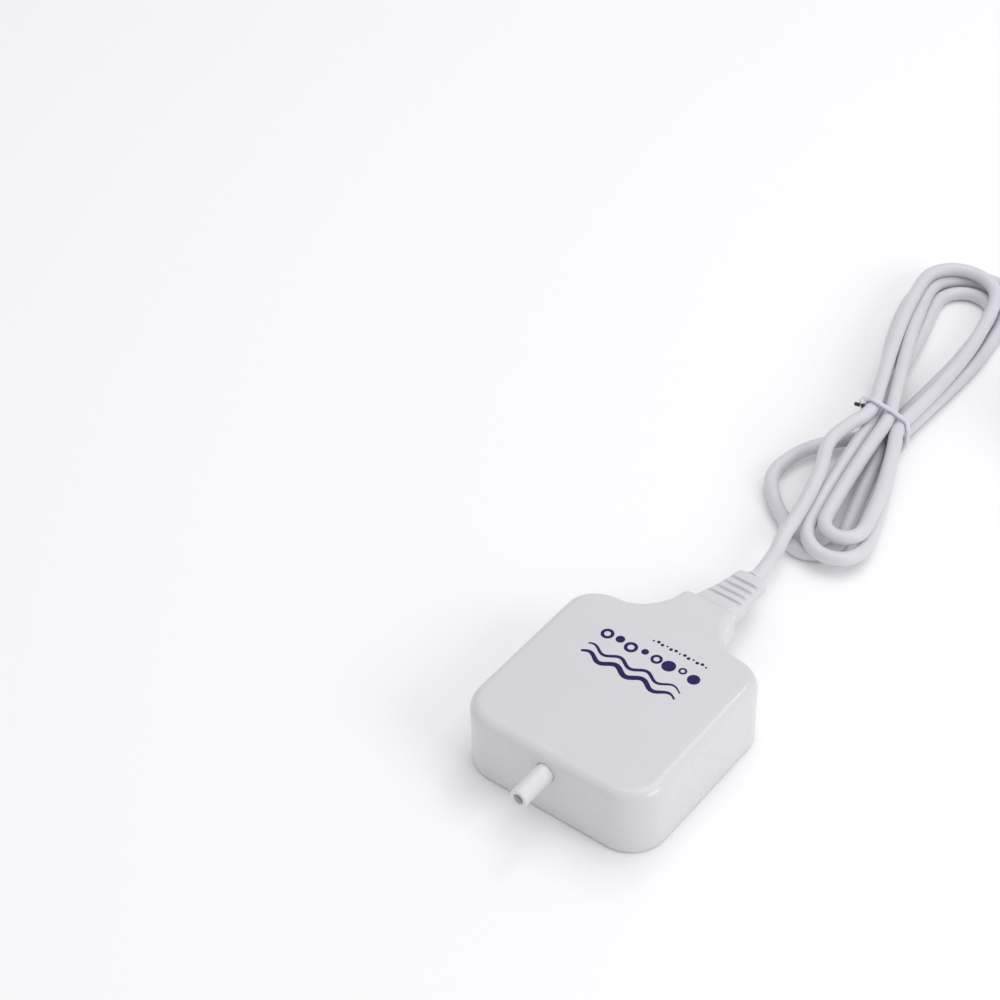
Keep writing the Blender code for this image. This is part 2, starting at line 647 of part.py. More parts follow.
RELIEF_Y = np.array([44.3, 49.7, 53.7, 59.3, 64.5]) * MM
RELIEF_HALF_WIDE = np.array([6.6, 6.2, 5.6, 4.9, 4.5]) * MM
RELIEF_HALF_HIGH = np.array([3.3, 3.0, 2.85, 2.75, 2.6]) * MM
RELIEF_CENTRE = np.array([12.7, 11.2, 10.3, 9.25, 8.6]) * MM
GROOVES = [49.7 * MM, 52.9 * MM, 56.1 * MM, 59.3 * MM]
GROOVE_HALF = 0.6 * MM
GROOVE_DEEP = 0.7 * MM
GROOVE_SIDE = 0.35                # the grooves are this much shallower at the sides


def make_relief():
    """Flange and waist held by the neck's end wall, then the grooved tail outside."""
    step = 0.02 * MM
    flange_y = (40.4 * MM, NECK_END - WALL - GAP)
    rings = [relief_section(flange_y[0], 6.0 * MM, 2.3 * MM, 13.1 * MM),
             relief_section(flange_y[1], 6.0 * MM, 2.3 * MM, 13.1 * MM),
             relief_section(flange_y[1] + step, 4.5 * MM, 2.3 * MM, 13.0 * MM),
             relief_section(RELIEF_Y[0] - step, 4.5 * MM, 2.3 * MM, RELIEF_WAIST_Z)]
    stations = [(RELIEF_Y[0], 0.3 * MM), (RELIEF_Y[0] + 0.5 * MM, 0.0)]
    for y in GROOVES:
        stations += [(y - GROOVE_HALF, 0.0), (y - GROOVE_HALF / 2, GROOVE_DEEP),
                     (y + GROOVE_HALF / 2, GROOVE_DEEP), (y + GROOVE_HALF, 0.0)]
    stations += [(RELIEF_Y[-1] - 0.6 * MM, 0.0), (RELIEF_Y[-1], 0.5 * MM)]
    for y, inset in stations:
        wide = np.interp(y, RELIEF_Y, RELIEF_HALF_WIDE) - inset * GROOVE_SIDE
        high = np.interp(y, RELIEF_Y, RELIEF_HALF_HIGH) - inset
        rings.append(relief_section(y, wide, high, np.interp(y, RELIEF_Y, RELIEF_CENTRE)))
    loft("strain_relief", rings, CORD)


LEAD_ROUTE = [Vector(p) * MM for p in (
    (0.0, 65.0, 8.5), (-0.2, 69.0, 8.1), (-1.2, 75.4, 7.5), (-2.3, 81.0, 7.1), (-2.7, 83.2, 6.95))]
TAIL_ROUTE = [Vector(p) * MM for p in (
    (-12.6, 229.0, 2.4), (-8.5, 226.2, 2.2), (-2.5, 219.5, 2.8), (3.0, 213.4, 4.2),
    (9.0, 209.96, 6.6), (14.4, 206.85, 7.0))]


def hank_point(along, across, height):
    """A point in the hank's own frame: along its axis, across it to the right, above the floor."""
    axis = Vector((-math.sin(HANK_LEAN), math.cos(HANK_LEAN), 0.0))
    side = Vector((math.cos(HANK_LEAN), math.sin(HANK_LEAN), 0.0))
    return HANK_TIE + axis * along + side * across + Vector((0, 0, height))


def hank_half_width(along):
    """Half width of the hank: narrow at the tie, round at both ends."""
    half = HANK_NEAR if along < 0 else HANK_FAR
    reach = half - abs(along)
    swell = HANK_WAIST + (HANK_HALF_WIDE - HANK_WAIST) * math.sin(
        min(abs(along) / (half - HANK_HALF_WIDE), 1.0) * math.pi / 2) ** 1.3
    if reach >= HANK_HALF_WIDE:
        return swell
    drop = HANK_HALF_WIDE - reach
    return math.sqrt(max(HANK_HALF_WIDE ** 2 - drop ** 2, 0.0))


def make_hank():
    """The outer shape of the wound cord, as one upright extrusion of its outline."""
    quarter = [math.pi / 2 * i / 20 for i in range(21)]
    along = [-HANK_NEAR * math.cos(q) for q in quarter]
    along += [HANK_FAR * math.sin(q) for q in quarter[1:]]
    right = [(a, hank_half_width(a)) for a in along]
    left = [(a, -w) for a, w in reversed(right[1:-1])]
    curve = bpy.data.curves.new("hank_outline", "CURVE")
    curve.dimensions = "2D"
    curve.fill_mode = "BOTH"
    curve.extrude = HANK_H / 2
    line = curve.splines.new("POLY")
    line.points.add(len(right + left) - 1)
    line.use_cyclic_u = True
    for point, (a, w) in zip(line.points, right + left):
        spot = hank_point(a, w, 0.0)
        point.co = (spot.x, spot.y, 0.0, 1.0)
    guide = bpy.data.objects.new("hank_outline", curve)
    guide.location.z = HANK_H / 2
    CUTTERS.objects.link(guide)
    bpy.context.view_layer.update()
    graph = bpy.context.evaluated_depsgraph_get()
    mesh = bpy.data.meshes.new_from_object(guide.evaluated_get(graph))
    bm = bmesh.new()
    bm.from_mesh(mesh)
    bm.transform(guide.matrix_world)
    bmesh.ops.remove_doubles(bm, verts=bm.verts, dist=0.01 * MM)
    bpy.data.objects.remove(guide, do_unlink=True)
    hank = add_mesh("cord_hank", bm, CORD)
    slot = box("tie_slot", (-20 * MM, -1.3 * MM, -1 * MM), (20 * MM, 1.3 * MM, 2 * TIE_R + GAP), None,
               CUTTERS)
    slot.location = hank_point(0, 0, 0)
    slot.rotation_euler.z = HANK_LEAN
    boolean(hank, slot, "DIFFERENCE")


def make_tie():
    """A plastic-covered wire loop round the hank's waist."""
    wide = HANK_WAIST + GAP + TIE_R
    low = TIE_R
    high = HANK_H + GAP + TIE_R
    bend = 1.0 * MM
    points = []
    for cx, cz, start in ((wide - bend, low + bend, -90), (wide - bend, high - bend, 0),
                          (bend - wide, high - bend, 90), (bend - wide, low + bend, 180)):
        for i in range(5):
            a = math.radians(start + 90 * i / 4)
            points.append(hank_point(0, cx + bend * math.cos(a), cz + bend * math.sin(a)))
    tube("cord_tie", points, TIE_R, TIE, 2, closed=True)


def make_cord():
    cylinder("cord_inner_end", CORD_R, (0, 34.0 * MM, 13.0 * MM), 6.1 * MM, "Y", CORD, PARTS, 16)
    tube("cord_tube", smooth_curve(LEAD_ROUTE, 4.0 * MM), CORD_R, CORD, 3)
    make_hank()
    tube("cord_tail", smooth_curve(TAIL_ROUTE, 4.0 * MM), CORD_R, CORD, 3)
    make_tie()


# ---- plug -------------------------------------------------------------------
def make_plug():
    """Made with the cord entering at the local origin and running along local +X, pins up."""
    pivot = bpy.data.objects.new("plug_place", None)
    PARTS.objects.link(pivot)
    pivot.location = PLUG_ENTRY
    pivot.rotation_euler.z = PLUG_HEADING
    back = PLUG_RELIEF_LEN
    body = box("plug_body", (back, -PLUG_WIDE / 2, 0), (back + PLUG_LEN, PLUG_WIDE / 2, PLUG_H), PLUG)
    for vert in body.data.vertices:
        if vert.co.x < back + 1 * MM:
            vert.co.y *= 0.72
        if vert.co.z < 1 * MM:
            vert.co.y *= 0.86
    add_bevel(body, 3.0 * MM, 3)
    relief = bmesh.new()
    bmesh.ops.create_cone(relief, cap_ends=True, segments=24, radius1=3.2 * MM, radius2=6.2 * MM,
                          depth=back + 4 * MM, matrix=Matrix.Translation(
                              ((back + 4 * MM) / 2, 0, PLUG_CORD_Z)) @ AXIS_TURN["X"])
    boolean(body, add_mesh("plug_relief", relief, None, CUTTERS), "UNION")
    parts = [body, bpy.data.objects["plug_relief"]]
    line_x = back + PIN_LINE
    pins = (("plug_live_pin", line_x, -PIN_HALF_GAP, 1.98, 3.17, 17.7),
            ("plug_neutral_pin", line_x, PIN_HALF_GAP, 1.98, 3.17, 17.7),
            ("plug_earth_pin", line_x + PIN_SPACING, 0.0, 3.96, 1.98, 22.7))
    for name, x, y, hx, hy, long in pins:
        hx *= MM
        hy *= MM
        pin = box(name, (x - hx, y - hy, PLUG_H - PIN_SINK + GAP),
                  (x + hx, y + hy, PLUG_H + long * MM), PIN_BRASS)
        add_bevel(pin, 0.5 * MM, 1)
        pocket = box(name + "_pocket", (x - hx - GAP, y - hy - GAP, PLUG_H - PIN_SINK),
                     (x + hx + GAP, y + hy + GAP, PLUG_H + 5 * MM), None, CUTTERS)
        boolean(body, pocket, "DIFFERENCE")
        parts += [pin, pocket]
    fuse_x = line_x + 10.0 * MM
    well_low = PLUG_H - 9.0 * MM
    well = box("fuse_well", (fuse_x - 4.7 * MM, -13.9 * MM, well_low),
               (fuse_x + 4.7 * MM, 13.9 * MM, PLUG_H + 5 * MM), None, CUTTERS)
    boolean(body, well, "DIFFERENCE")
    carrier = box("plug_fuse_carrier", (fuse_x - 4.4 * MM, -13.6 * MM, well_low + 3.4 * MM),
                  (fuse_x + 4.4 * MM, 13.6 * MM, PLUG_H - 0.2 * MM), PLUG)
    trough = cylinder("fuse_trough", 3.5 * MM, (fuse_x, -13.0 * MM, well_low + 3.6 * MM), 26.0 * MM,
                      "Y", None, CUTTERS, 24)
    boolean(carrier, trough, "DIFFERENCE")
    fuse = cylinder("plug_fuse", 3.15 * MM, (fuse_x, -12.7 * MM, well_low + 3.6 * MM), 25.4 * MM, "Y",
                    FUSE, PARTS, 20)
    parts += [well, carrier, trough, fuse]
    for obj in parts:
        obj.parent = pivot


make_top_shell()
make_base_plate()
make_case_screws()
make_nozzle()
make_nozzle_seal()
make_valve_block()
make_valve_cover()
make_flap("outlet_flap", OUTLET_HINGE)
make_flap("inlet_flap", INLET_HINGE)
make_bender()
make_clamp_ring()
make_module_screws()
make_pads()
make_electronics()
make_leads()
make_relief()
make_cord()
make_plug()
for part in PARTS.objects:
    if part.type == "MESH":
        part.data.shade_smooth()
        part.data.set_sharp_from_angle(angle=math.radians(35))
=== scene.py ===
"""Looks of the small aquarium air pump: camera, cord, casing, plug and every material.

Metres, +Z up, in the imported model's own frame: the origin is the centre of the square body on its
resting plane, the nozzle points to -Y and the cord leaves towards +Y.
"""
import json
from math import copysign, cos, exp, pi, radians, sin, sqrt

import bmesh
import bpy
import numpy as np
from mathutils import Matrix, Vector


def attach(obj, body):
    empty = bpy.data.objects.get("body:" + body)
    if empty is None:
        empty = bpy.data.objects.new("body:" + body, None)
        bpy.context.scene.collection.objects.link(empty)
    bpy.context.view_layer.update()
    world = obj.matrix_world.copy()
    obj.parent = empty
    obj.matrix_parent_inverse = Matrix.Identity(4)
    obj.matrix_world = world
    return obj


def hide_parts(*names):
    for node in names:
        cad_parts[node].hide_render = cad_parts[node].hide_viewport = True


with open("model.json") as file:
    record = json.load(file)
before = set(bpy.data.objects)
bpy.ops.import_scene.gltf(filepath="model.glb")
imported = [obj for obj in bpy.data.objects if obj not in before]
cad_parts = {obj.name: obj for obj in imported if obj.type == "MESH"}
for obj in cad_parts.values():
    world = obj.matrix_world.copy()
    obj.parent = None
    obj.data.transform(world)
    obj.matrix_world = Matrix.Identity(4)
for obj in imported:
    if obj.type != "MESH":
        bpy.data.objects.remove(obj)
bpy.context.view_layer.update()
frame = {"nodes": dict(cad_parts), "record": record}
MM = 0.001

# ---- camera
CAMERA_AT = Vector((233.18, -323.77, 443.30)) * MM
CAMERA_TO = Vector((-81.85, 56.85, 0.0)) * MM
CAMERA_ROLL = radians(-2.383)
CAMERA_LENS = 82.61  # millimetres, on a sensor SENSOR_WIDE across
SENSOR_WIDE = 36.0
FLOOR_HALF = 3.0  # metres, half of the square floor's side

# ---- casing: sizes shared with the CAD
GAP = 0.3 * MM  # clearance between neighbouring pieces
BODY_HALF = 29.0 * MM
BODY_TOP = 21.0 * MM
CORNER_R = 10.4 * MM
TOP_R = 3.0 * MM
WALL = 1.6 * MM
RIM_Z = 0.4 * MM
NECK_HALF = 8.3 * MM
NECK_END = 44.0 * MM
NECK_CORNER_R = 2.0 * MM
NECK_TOP_R = 1.9 * MM
FILLET_X = 18.6 * MM
FILLET_POWER = 1.8
TOP_SLOPE = 0.17
TOP_SLOPE_START = 24.0 * MM
TOP_SLOPE_EASE = 2.0 * MM
UNDER_START = 29.5 * MM
UNDER_RUN = 12.0 * MM
UNDER_RISE = 8.8 * MM
FILLET_END = NECK_END - NECK_CORNER_R

NOZZLE_Z = 15.6 * MM
NOZZLE_R = 2.65 * MM
NOZZLE_BORE = 1.5 * MM
NOZZLE_TIP = -40.0 * MM
FLANGE_R = 3.2 * MM
STUB_R = 1.8 * MM
PLATE_T = 2.2 * MM
TONGUE_T = 1.5 * MM
WINDOW_HALF = 4.9 * MM
WINDOW_Z = (10.0 * MM, 15.7 * MM)
BOSS_XY = 21.3 * MM
BOSS_R = 3.1 * MM
SCREW_R = 1.1 * MM
SCREW_HEAD_R = 2.4 * MM
SCREW_HEAD_H = 1.2 * MM
SCREW_LEN = 9.5 * MM
MODULE_Y = -5.0 * MM
BLOCK_R = 20.0 * MM
VENT_R = 0.8 * MM
VENT_PITCH_R = 3.2 * MM
CUP_SEAT_R = 4.5 * MM
CUP_SEAT_Y = 14.0 * MM

# ---- casing: what only the looks have
CROWN = 0.25 * MM  # the top is very slightly domed
RIM_R = 0.5 * MM  # rounding of the shell's lower rim
PLATE_EDGE = ((0.3 * MM, 0.0), (0.09 * MM, 0.09 * MM), (0.0, 0.3 * MM))  # (inset, rise)
END_RUN = 12  # outline points on each half of a straight end
SCREW_PITCH = 0.8 * MM
SCREW_EDGE_R = 0.5 * MM  # rounding of a case screw's head
SLOT_HALF = (1.5 * MM, 0.32 * MM)
SLOT_DEEP = 0.75 * MM
LIP_R = 0.45 * MM  # rounding of the nozzle's lip
STUB_BORE = 1.1 * MM

# ---- printed decoration
PRINT_X = (-14.5 * MM, 16.5 * MM)
WAVE_LEN = 29.0 * MM
WAVE_STEPS = 90
WAVE_COUNT = 3.5  # crests along one line
WAVES = [(5.5 * MM, 1.5 * MM, 0.95 * MM, 0.0),  # y, width, swing, phase
         (8.4 * MM, 1.0 * MM, 0.9 * MM, 0.5)]
BUBBLES = [r * MM for r in (1.8, 1.25, 1.85, 1.0, 1.6, 1.9, 1.15, 1.7)]
BUBBLE_Y = 14.4 * MM
DOT_RADII = (0.28 * MM, 0.47 * MM, 0.47 * MM)  # repeated along the dotted line
DOT_COUNT = 13
DOT_PITCH = 1.35 * MM
DOTS_X = 13 * MM  # from the print's left edge
DOTS_Y = 19.4 * MM
DOT_ZIGZAG = 0.35 * MM
INK_T = 0.04 * MM  # the ink stands this far out of the plastic
INK_ROOT = -0.1 * MM  # and reaches this far into it

# ---- cord: sizes and route shared with the CAD
CORD_D = 4.2 * MM
CORD_R = CORD_D / 2
HANK_TIE = Vector((-7.4, 142.95, 0.0)) * MM
HANK_LEAN = radians(12.0)
HANK_AXIS = Vector((-sin(HANK_LEAN), cos(HANK_LEAN), 0.0))
HANK_SIDE = Vector((cos(HANK_LEAN), sin(HANK_LEAN), 0.0))
LEAD_ROUTE = [Vector(p) * MM for p in (
    (0.0, 65.0, 8.5), (-0.2, 69.0, 8.1), (-1.2, 75.4, 7.5), (-2.3, 81.0, 7.1), (-2.7, 83.2, 6.95))]
TAIL_ROUTE = [Vector(p) * MM for p in (
    (-12.6, 229.0, 2.4), (-8.5, 226.2, 2.2), (-2.5, 219.5, 2.8), (3.0, 213.4, 4.2),
    (9.0, 209.96, 6.6), (14.4, 206.85, 7.0))]

# ---- tie
TIE_R = 0.7 * MM
TIE_SHIFT = 1.2 * MM  # the strands sit this far to the tie's +X side
TIE_ROOM = 4.8 * MM  # half width of the bundle of strand centres in the tie
TIE_LID = 11.3 * MM  # height of the bundle's top strand centre
TIE_GRIP = 3.0 * MM  # past here, along the hank, the bundle may widen
TIE_REACH = 7.0 * MM  # and isn't held past here
HUMP = 1.5 * MM  # lift of the strands by the wire under them
HUMP_REACH = 14.0 * MM
TIE_SLANT = 1.6  # millimetres that the loop leans along the hank
TWIST_TURNS = 0.9
END_LENGTHS = (2.7 * MM, 2.2 * MM)
END_AIM = (-0.85, -0.30, -0.25)  # along the hank, across it, up
END_START = 1.5 * MM  # the twisted ends start this far back from the knot
CORE_SPOTS = (-0.2 * MM, 0.6 * MM, 1.3 * MM)  # bare wire, from the plastic's end

# ---- plug: sizes shared with the CAD
PLUG_ENTRY = Vector((15.0, 206.5, 0.0)) * MM
PLUG_HEADING = radians(-30.0)
PLUG_PLACE = Matrix.Translation(PLUG_ENTRY) @ Matrix.Rotation(PLUG_HEADING, 4, "Z")
PLUG_RELIEF_LEN = 24.0 * MM
PLUG_LEN = 46.0 * MM
PLUG_WIDE = 48.0 * MM
PLUG_H = 19.0 * MM
PLUG_CORD_Z = 7.0 * MM
PLUG_SEAM_Z = 14.6 * MM
PLUG_BACK_SHARE = 0.86  # width of the plug's back as a share of its pin face
SOFT_R = 4.0 * MM  # rounding of the plug's back
FACE_R = 1.2 * MM  # rounding of its pin face
PIN_LOW = 13.6  # millimetres, where the pins start inside the body
PIN_CORNER_R = 0.5  # millimetres
TAIL_LEN = 27.0  # the plug's tail, in millimetres
TAIL_RADII = (3.1, 6.4)
TAIL_RIBS = 9
FUSE_X = 49.0  # millimetres from the plug's cord end
PINS = (("live", 39.0, -11.1, 1.98, 3.17, 17.7),  # place, half sizes, length, in millimetres
        ("neutral", 39.0, 11.1, 1.98, 3.17, 17.7),
        ("earth", 61.2, 0.0, 3.96, 1.98, 22.7))


# ---- camera, stage and light
def new_object(name, data):
    obj = bpy.data.objects.new(name, data)
    bpy.context.scene.collection.objects.link(obj)
    return obj


def make_camera():
    data = bpy.data.cameras.new("camera")
    data.lens = CAMERA_LENS
    data.sensor_width = SENSOR_WIDE
    data.clip_start = 0.01
    cam = new_object("camera", data)
    ahead = (CAMERA_TO - CAMERA_AT).normalized()
    level = ahead.cross(Vector((0, 0, 1))).normalized()
    above = level.cross(ahead)
    right = level * cos(CAMERA_ROLL) + above * sin(CAMERA_ROLL)
    turn = Matrix((right, right.cross(ahead), -ahead)).transposed()
    cam.matrix_world = Matrix.Translation(CAMERA_AT) @ turn.to_4x4()
    bpy.context.scene.camera = cam


def make_floor():
    bm = bmesh.new()
    bmesh.ops.create_grid(bm, x_segments=1, y_segments=1, size=FLOOR_HALF)
    floor = add_mesh("floor", bm, "floor")


def area_light(name, place, aim, size, power):
    data = bpy.data.lights.new(name, "AREA")
    data.shape = "RECTANGLE"
    data.size, data.size_y = size
    data.energy = power
    lamp = new_object(name, data)
    lamp.location = place
    lamp.rotation_euler = (Vector(aim) - Vector(place)).to_track_quat("-Z", "Y").to_euler()


def make_lights():
    world = bpy.data.worlds.new("studio")
    bpy.context.scene.world = world
    world.use_nodes = True
    sky = world.node_tree.nodes["Background"]
    sky.inputs["Color"].default_value = (0.97, 0.97, 1.0, 1.0)
    sky.inputs["Strength"].default_value = 0.68
    area_light("overhead_softbox", (0.10, 0.35, 1.10), (0.0, 0.08, 0.0), (1.0, 0.8), 3.6)
    area_light("right_softbox", (0.95, 0.10, 0.60), (0.0, 0.05, 0.0), (0.6, 0.5), 3.2)
    area_light("small_strobe", (-0.10, 0.75, 0.95), (0.0, 0.0, 0.0), (0.10, 0.10), 0.4)
    bpy.context.scene.view_settings.view_transform = "Standard"


# ---- mesh helpers
def add_mesh(name, bm, slot="", sharp=40.0):
    bmesh.ops.recalc_face_normals(bm, faces=bm.faces)
    if bm.calc_volume(signed=True) < 0:
        bmesh.ops.reverse_faces(bm, faces=bm.faces)
    mesh = bpy.data.meshes.new(name)
    bm.to_mesh(mesh)
    bm.free()
    mesh.shade_smooth()
    mesh.set_sharp_from_angle(angle=radians(sharp))
    if slot:
        mesh.materials.append(MATS[slot])
    return new_object(name, mesh)


def band(bm, low, high):
    """Quads between two closed rows of equal vertex counts."""
    for i in range(len(low)):
        j = (i + 1) % len(low)
        bm.faces.new((low[i], low[j], high[j], high[i]))


def bridge(bm, rows, capped=False):
    """Bands through closed rows of points, with flat ends if capped."""
    made = [[bm.verts.new(p) for p in row] for row in rows]
    for low, high in zip(made, made[1:]):
        band(bm, low, high)
    if capped:
        bm.faces.new(made[0])
        bm.faces.new(list(reversed(made[-1])))
    return made


def loft(name, rows, slot, sharp=40.0):
    """A closed solid through rows of points."""
    bm = bmesh.new()
    bridge(bm, rows, True)
    return add_mesh(name, bm, slot, sharp)


def turned_mesh(name, profile, place, slot, sides, sharp=40.0):
    """A closed profile of (radius, height), turned about the place's Z."""
    bm = bmesh.new()
    rows = []
    turns = [2 * pi * i / sides for i in range(sides)]
    for r, z in profile:
        spots = [(r * cos(a), r * sin(a), z) for a in turns] if r else [(0.0, 0.0, z)]
        rows.append([bm.verts.new(place @ Vector(spot)) for spot in spots])
    for low, high in zip(rows, rows[1:] + rows[:1]):
        if len(low) == len(high):
            if len(low) > 1:
                band(bm, low, high)
            continue
        for i in range(sides):
            j = (i + 1) % sides
            if len(low) == 1:
                bm.faces.new((low[0], high[j], high[i]))
            else:
                bm.faces.new((low[i], low[j], high[0]))
    return add_mesh(name, bm, slot, sharp)


def quarter(radius, steps):
    """(inset, rise) pairs of a rounded edge, from its flat face to its upright side."""
    turns = [pi / 2 * i / steps for i in range(steps + 1)]
    return [(radius * (1 - sin(a)), radius * (1 - cos(a))) for a in turns]


def squarish(a, power):
    """A point of a unit circle that grows squarer with a lower power."""
    c, s = cos(a), sin(a)
    return copysign(abs(c) ** power, c), copysign(abs(s) ** power, s)


def arc_points(cx, cz, radius, start, end, steps):
    """Points of an arc in a profile, in degrees."""
    angles = [radians(start + (end - start) * i / steps) for i in range(steps + 1)]
    return [(cx + radius * cos(a), cz + radius * sin(a)) for a in angles]


def curve_piece(name, points, radius, slot, smooth, sides, closed=False):
    curve = bpy.data.curves.new(name, "CURVE")
    curve.dimensions = "3D"
    curve.bevel_depth = radius
    curve.bevel_resolution = sides
    curve.use_fill_caps = not closed
    line = curve.splines.new("NURBS" if smooth else "POLY")
    line.points.add(len(points) - 1)
    line.use_cyclic_u = closed
    if smooth:
        line.order_u = 4
        line.use_endpoint_u = not closed
        line.resolution_u = 3
    for point, spot in zip(line.points, points):
        point.co = (*spot, 1.0)
    curve.materials.append(MATS[slot])
    return new_object(name, curve)


TURN_TO = {"Y": Matrix.Rotation(radians(-90), 4, "X"), "Z": Matrix()}


def round_bar(radius, start, length, axis, sides):
    """A plain bar from start along +axis, to cut with."""
    bm = bmesh.new()
    place = (Matrix.Translation(Vector(start)) @ TURN_TO[axis]
             @ Matrix.Translation((0, 0, length / 2)))
    bmesh.ops.create_cone(bm, cap_ends=True, segments=sides, radius1=radius, radius2=radius,
                          depth=length, matrix=place)
    return add_mesh("tool", bm)


def rounded_box(low, high, radius):
    low, high = Vector(low), Vector(high)
    bm = bmesh.new()
    place = Matrix.Translation((low + high) / 2) @ Matrix.Diagonal((*(high - low), 1.0))
    bmesh.ops.create_cube(bm, size=1.0, matrix=place)
    bmesh.ops.bevel(bm, geom=bm.edges[:], offset=radius, segments=4, profile=0.5, affect="EDGES")
    return add_mesh("tool", bm)


def cut(obj, tools):
    """Takes the tools' shapes out of obj and removes the tools."""
    for tool in tools:
        mod = obj.modifiers.new("Cut", "BOOLEAN")
        mod.operation = "DIFFERENCE"
        mod.solver = "EXACT"
        mod.object = tool
    bpy.context.view_layer.update()
    graph = bpy.context.evaluated_depsgraph_get()
    mesh = bpy.data.meshes.new_from_object(obj.evaluated_get(graph))
    obj.modifiers.clear()
    obj.data = mesh
    mesh.set_sharp_from_angle(angle=radians(40))
    for tool in tools:
        bpy.data.objects.remove(tool, do_unlink=True)


# ---- materials
class Surface:
    """A Principled material, with helpers for its patterns."""

    def __init__(self, name, colour, roughness, metallic=0.0):
        self.mat = bpy.data.materials.new(name)
        self.mat.use_nodes = True
        self.tree = self.mat.node_tree
        self.shader = self.tree.nodes["Principled BSDF"]
        self.colour = colour
        self.roughness = roughness
        self.set("Base Color", (*colour, 1.0))
        self.set("Roughness", roughness)
        self.set("Metallic", metallic)
        self.coords = self.tree.nodes.new("ShaderNodeTexCoord").outputs["Object"]

    def set(self, socket, value):
        self.shader.inputs[socket].default_value = value

    def node(self, kind, **inputs):
        made = self.tree.nodes.new(kind)
        for key, value in inputs.items():
            made.inputs[key.replace("_", " ")].default_value = value
        return made

    def link(self, a, b):
        self.tree.links.new(a, b)

    def insert(self, socket, into, out):
        """Puts a node between a socket of the shader and what feeds it."""
        before = self.shader.inputs[socket].links
        if before:
            self.link(before[0].from_socket, into)
        self.link(out, self.shader.inputs[socket])

    def noise(self, size, detail=3.0, stretch=None, rough=0.5):
        """Noise with features about size metres across, shortened along an axis by stretch."""
        made = self.node("ShaderNodeTexNoise", Scale=1.0 / size, Detail=detail, Roughness=rough)
        source = self.coords
        if stretch:
            mapping = self.node("ShaderNodeMapping", Scale=stretch)
            self.link(source, mapping.inputs["Vector"])
            source = mapping.outputs["Vector"]
        self.link(source, made.inputs["Vector"])
        return made.outputs["Fac"]

    def ramp(self, source, low, high, out_low=0.0, out_high=1.0):
        """Maps low to high onto out_low to out_high."""
        made = self.node("ShaderNodeMapRange", From_Min=low, From_Max=high,
                         To_Min=out_low, To_Max=out_high)
        self.link(source, made.inputs["Value"])
        return made.outputs["Result"]

    def tint(self, source, other, amount):
        """Mixes the colour so far with another by a 0 to 1 pattern times amount."""
        made = self.tree.nodes.new("ShaderNodeMix")
        made.data_type = "RGBA"
        made.inputs[6].default_value = (*self.colour, 1.0)
        made.inputs[7].default_value = (*other, 1.0)
        self.link(self.ramp(source, 0.0, 1.0, 0.0, amount), made.inputs[0])
        self.insert("Base Color", made.inputs[6], made.outputs[2])

    def vary_roughness(self, source, spread):
        low, high = self.roughness - spread, self.roughness + spread
        self.link(self.ramp(source, 0.25, 0.75, low, high), self.shader.inputs["Roughness"])

    def bump(self, source, depth, strength=1.0):
        made = self.node("ShaderNodeBump", Strength=strength, Distance=depth)
        self.link(source, made.inputs["Height"])
        self.insert("Normal", made.inputs["Normal"], made.outputs["Normal"])

    def edges(self):
        """1 on convex edges, 0 on flats."""
        geometry = self.tree.nodes.new("ShaderNodeNewGeometry")
        return self.ramp(geometry.outputs["Pointiness"], 0.53, 0.62)


def moulded(name, colour, roughness, grain, grain_depth, wave_depth=0.0, mottle=0.03):
    """Plastic with grain, long waves (both in millimetres), faint mottling and a painted highlight
    that lightens convex edges.
    """
    s = Surface(name, colour, roughness)
    s.bump(s.noise(grain * MM, 2.0), grain_depth * MM, 0.4)
    if wave_depth:
        s.bump(s.noise(9 * MM, 1.0), wave_depth * MM, 0.5)
    dark = tuple(c * 0.86 for c in colour)
    s.tint(s.ramp(s.noise(7 * MM, 2.0), 0.35, 0.7), dark, mottle * 4)
    s.vary_roughness(s.noise(6 * MM, 1.0), 0.02)
    # Painted highlight: convex edges get a lighter colour, for the light strip that rounded edges
    # catch.
    s.tint(s.edges(), tuple(min(1.0, c * 1.08) for c in colour), 0.5)
    return s


def metal(name, colour, roughness, along=(1.0, 1.0, 12.0), grain=0.3 * MM):
    """Drawn or rolled metal: fine lines along one axis, spots of tarnish."""
    s = Surface(name, colour, roughness, 1.0)
    lines = s.noise(grain, 3.0, along)
    s.bump(lines, 0.01 * MM, 0.4)
    s.vary_roughness(lines, 0.09)
    s.tint(s.ramp(s.noise(2.2 * MM, 5.0), 0.5, 0.75), tuple(c * 0.6 for c in colour), 0.45)
    return s


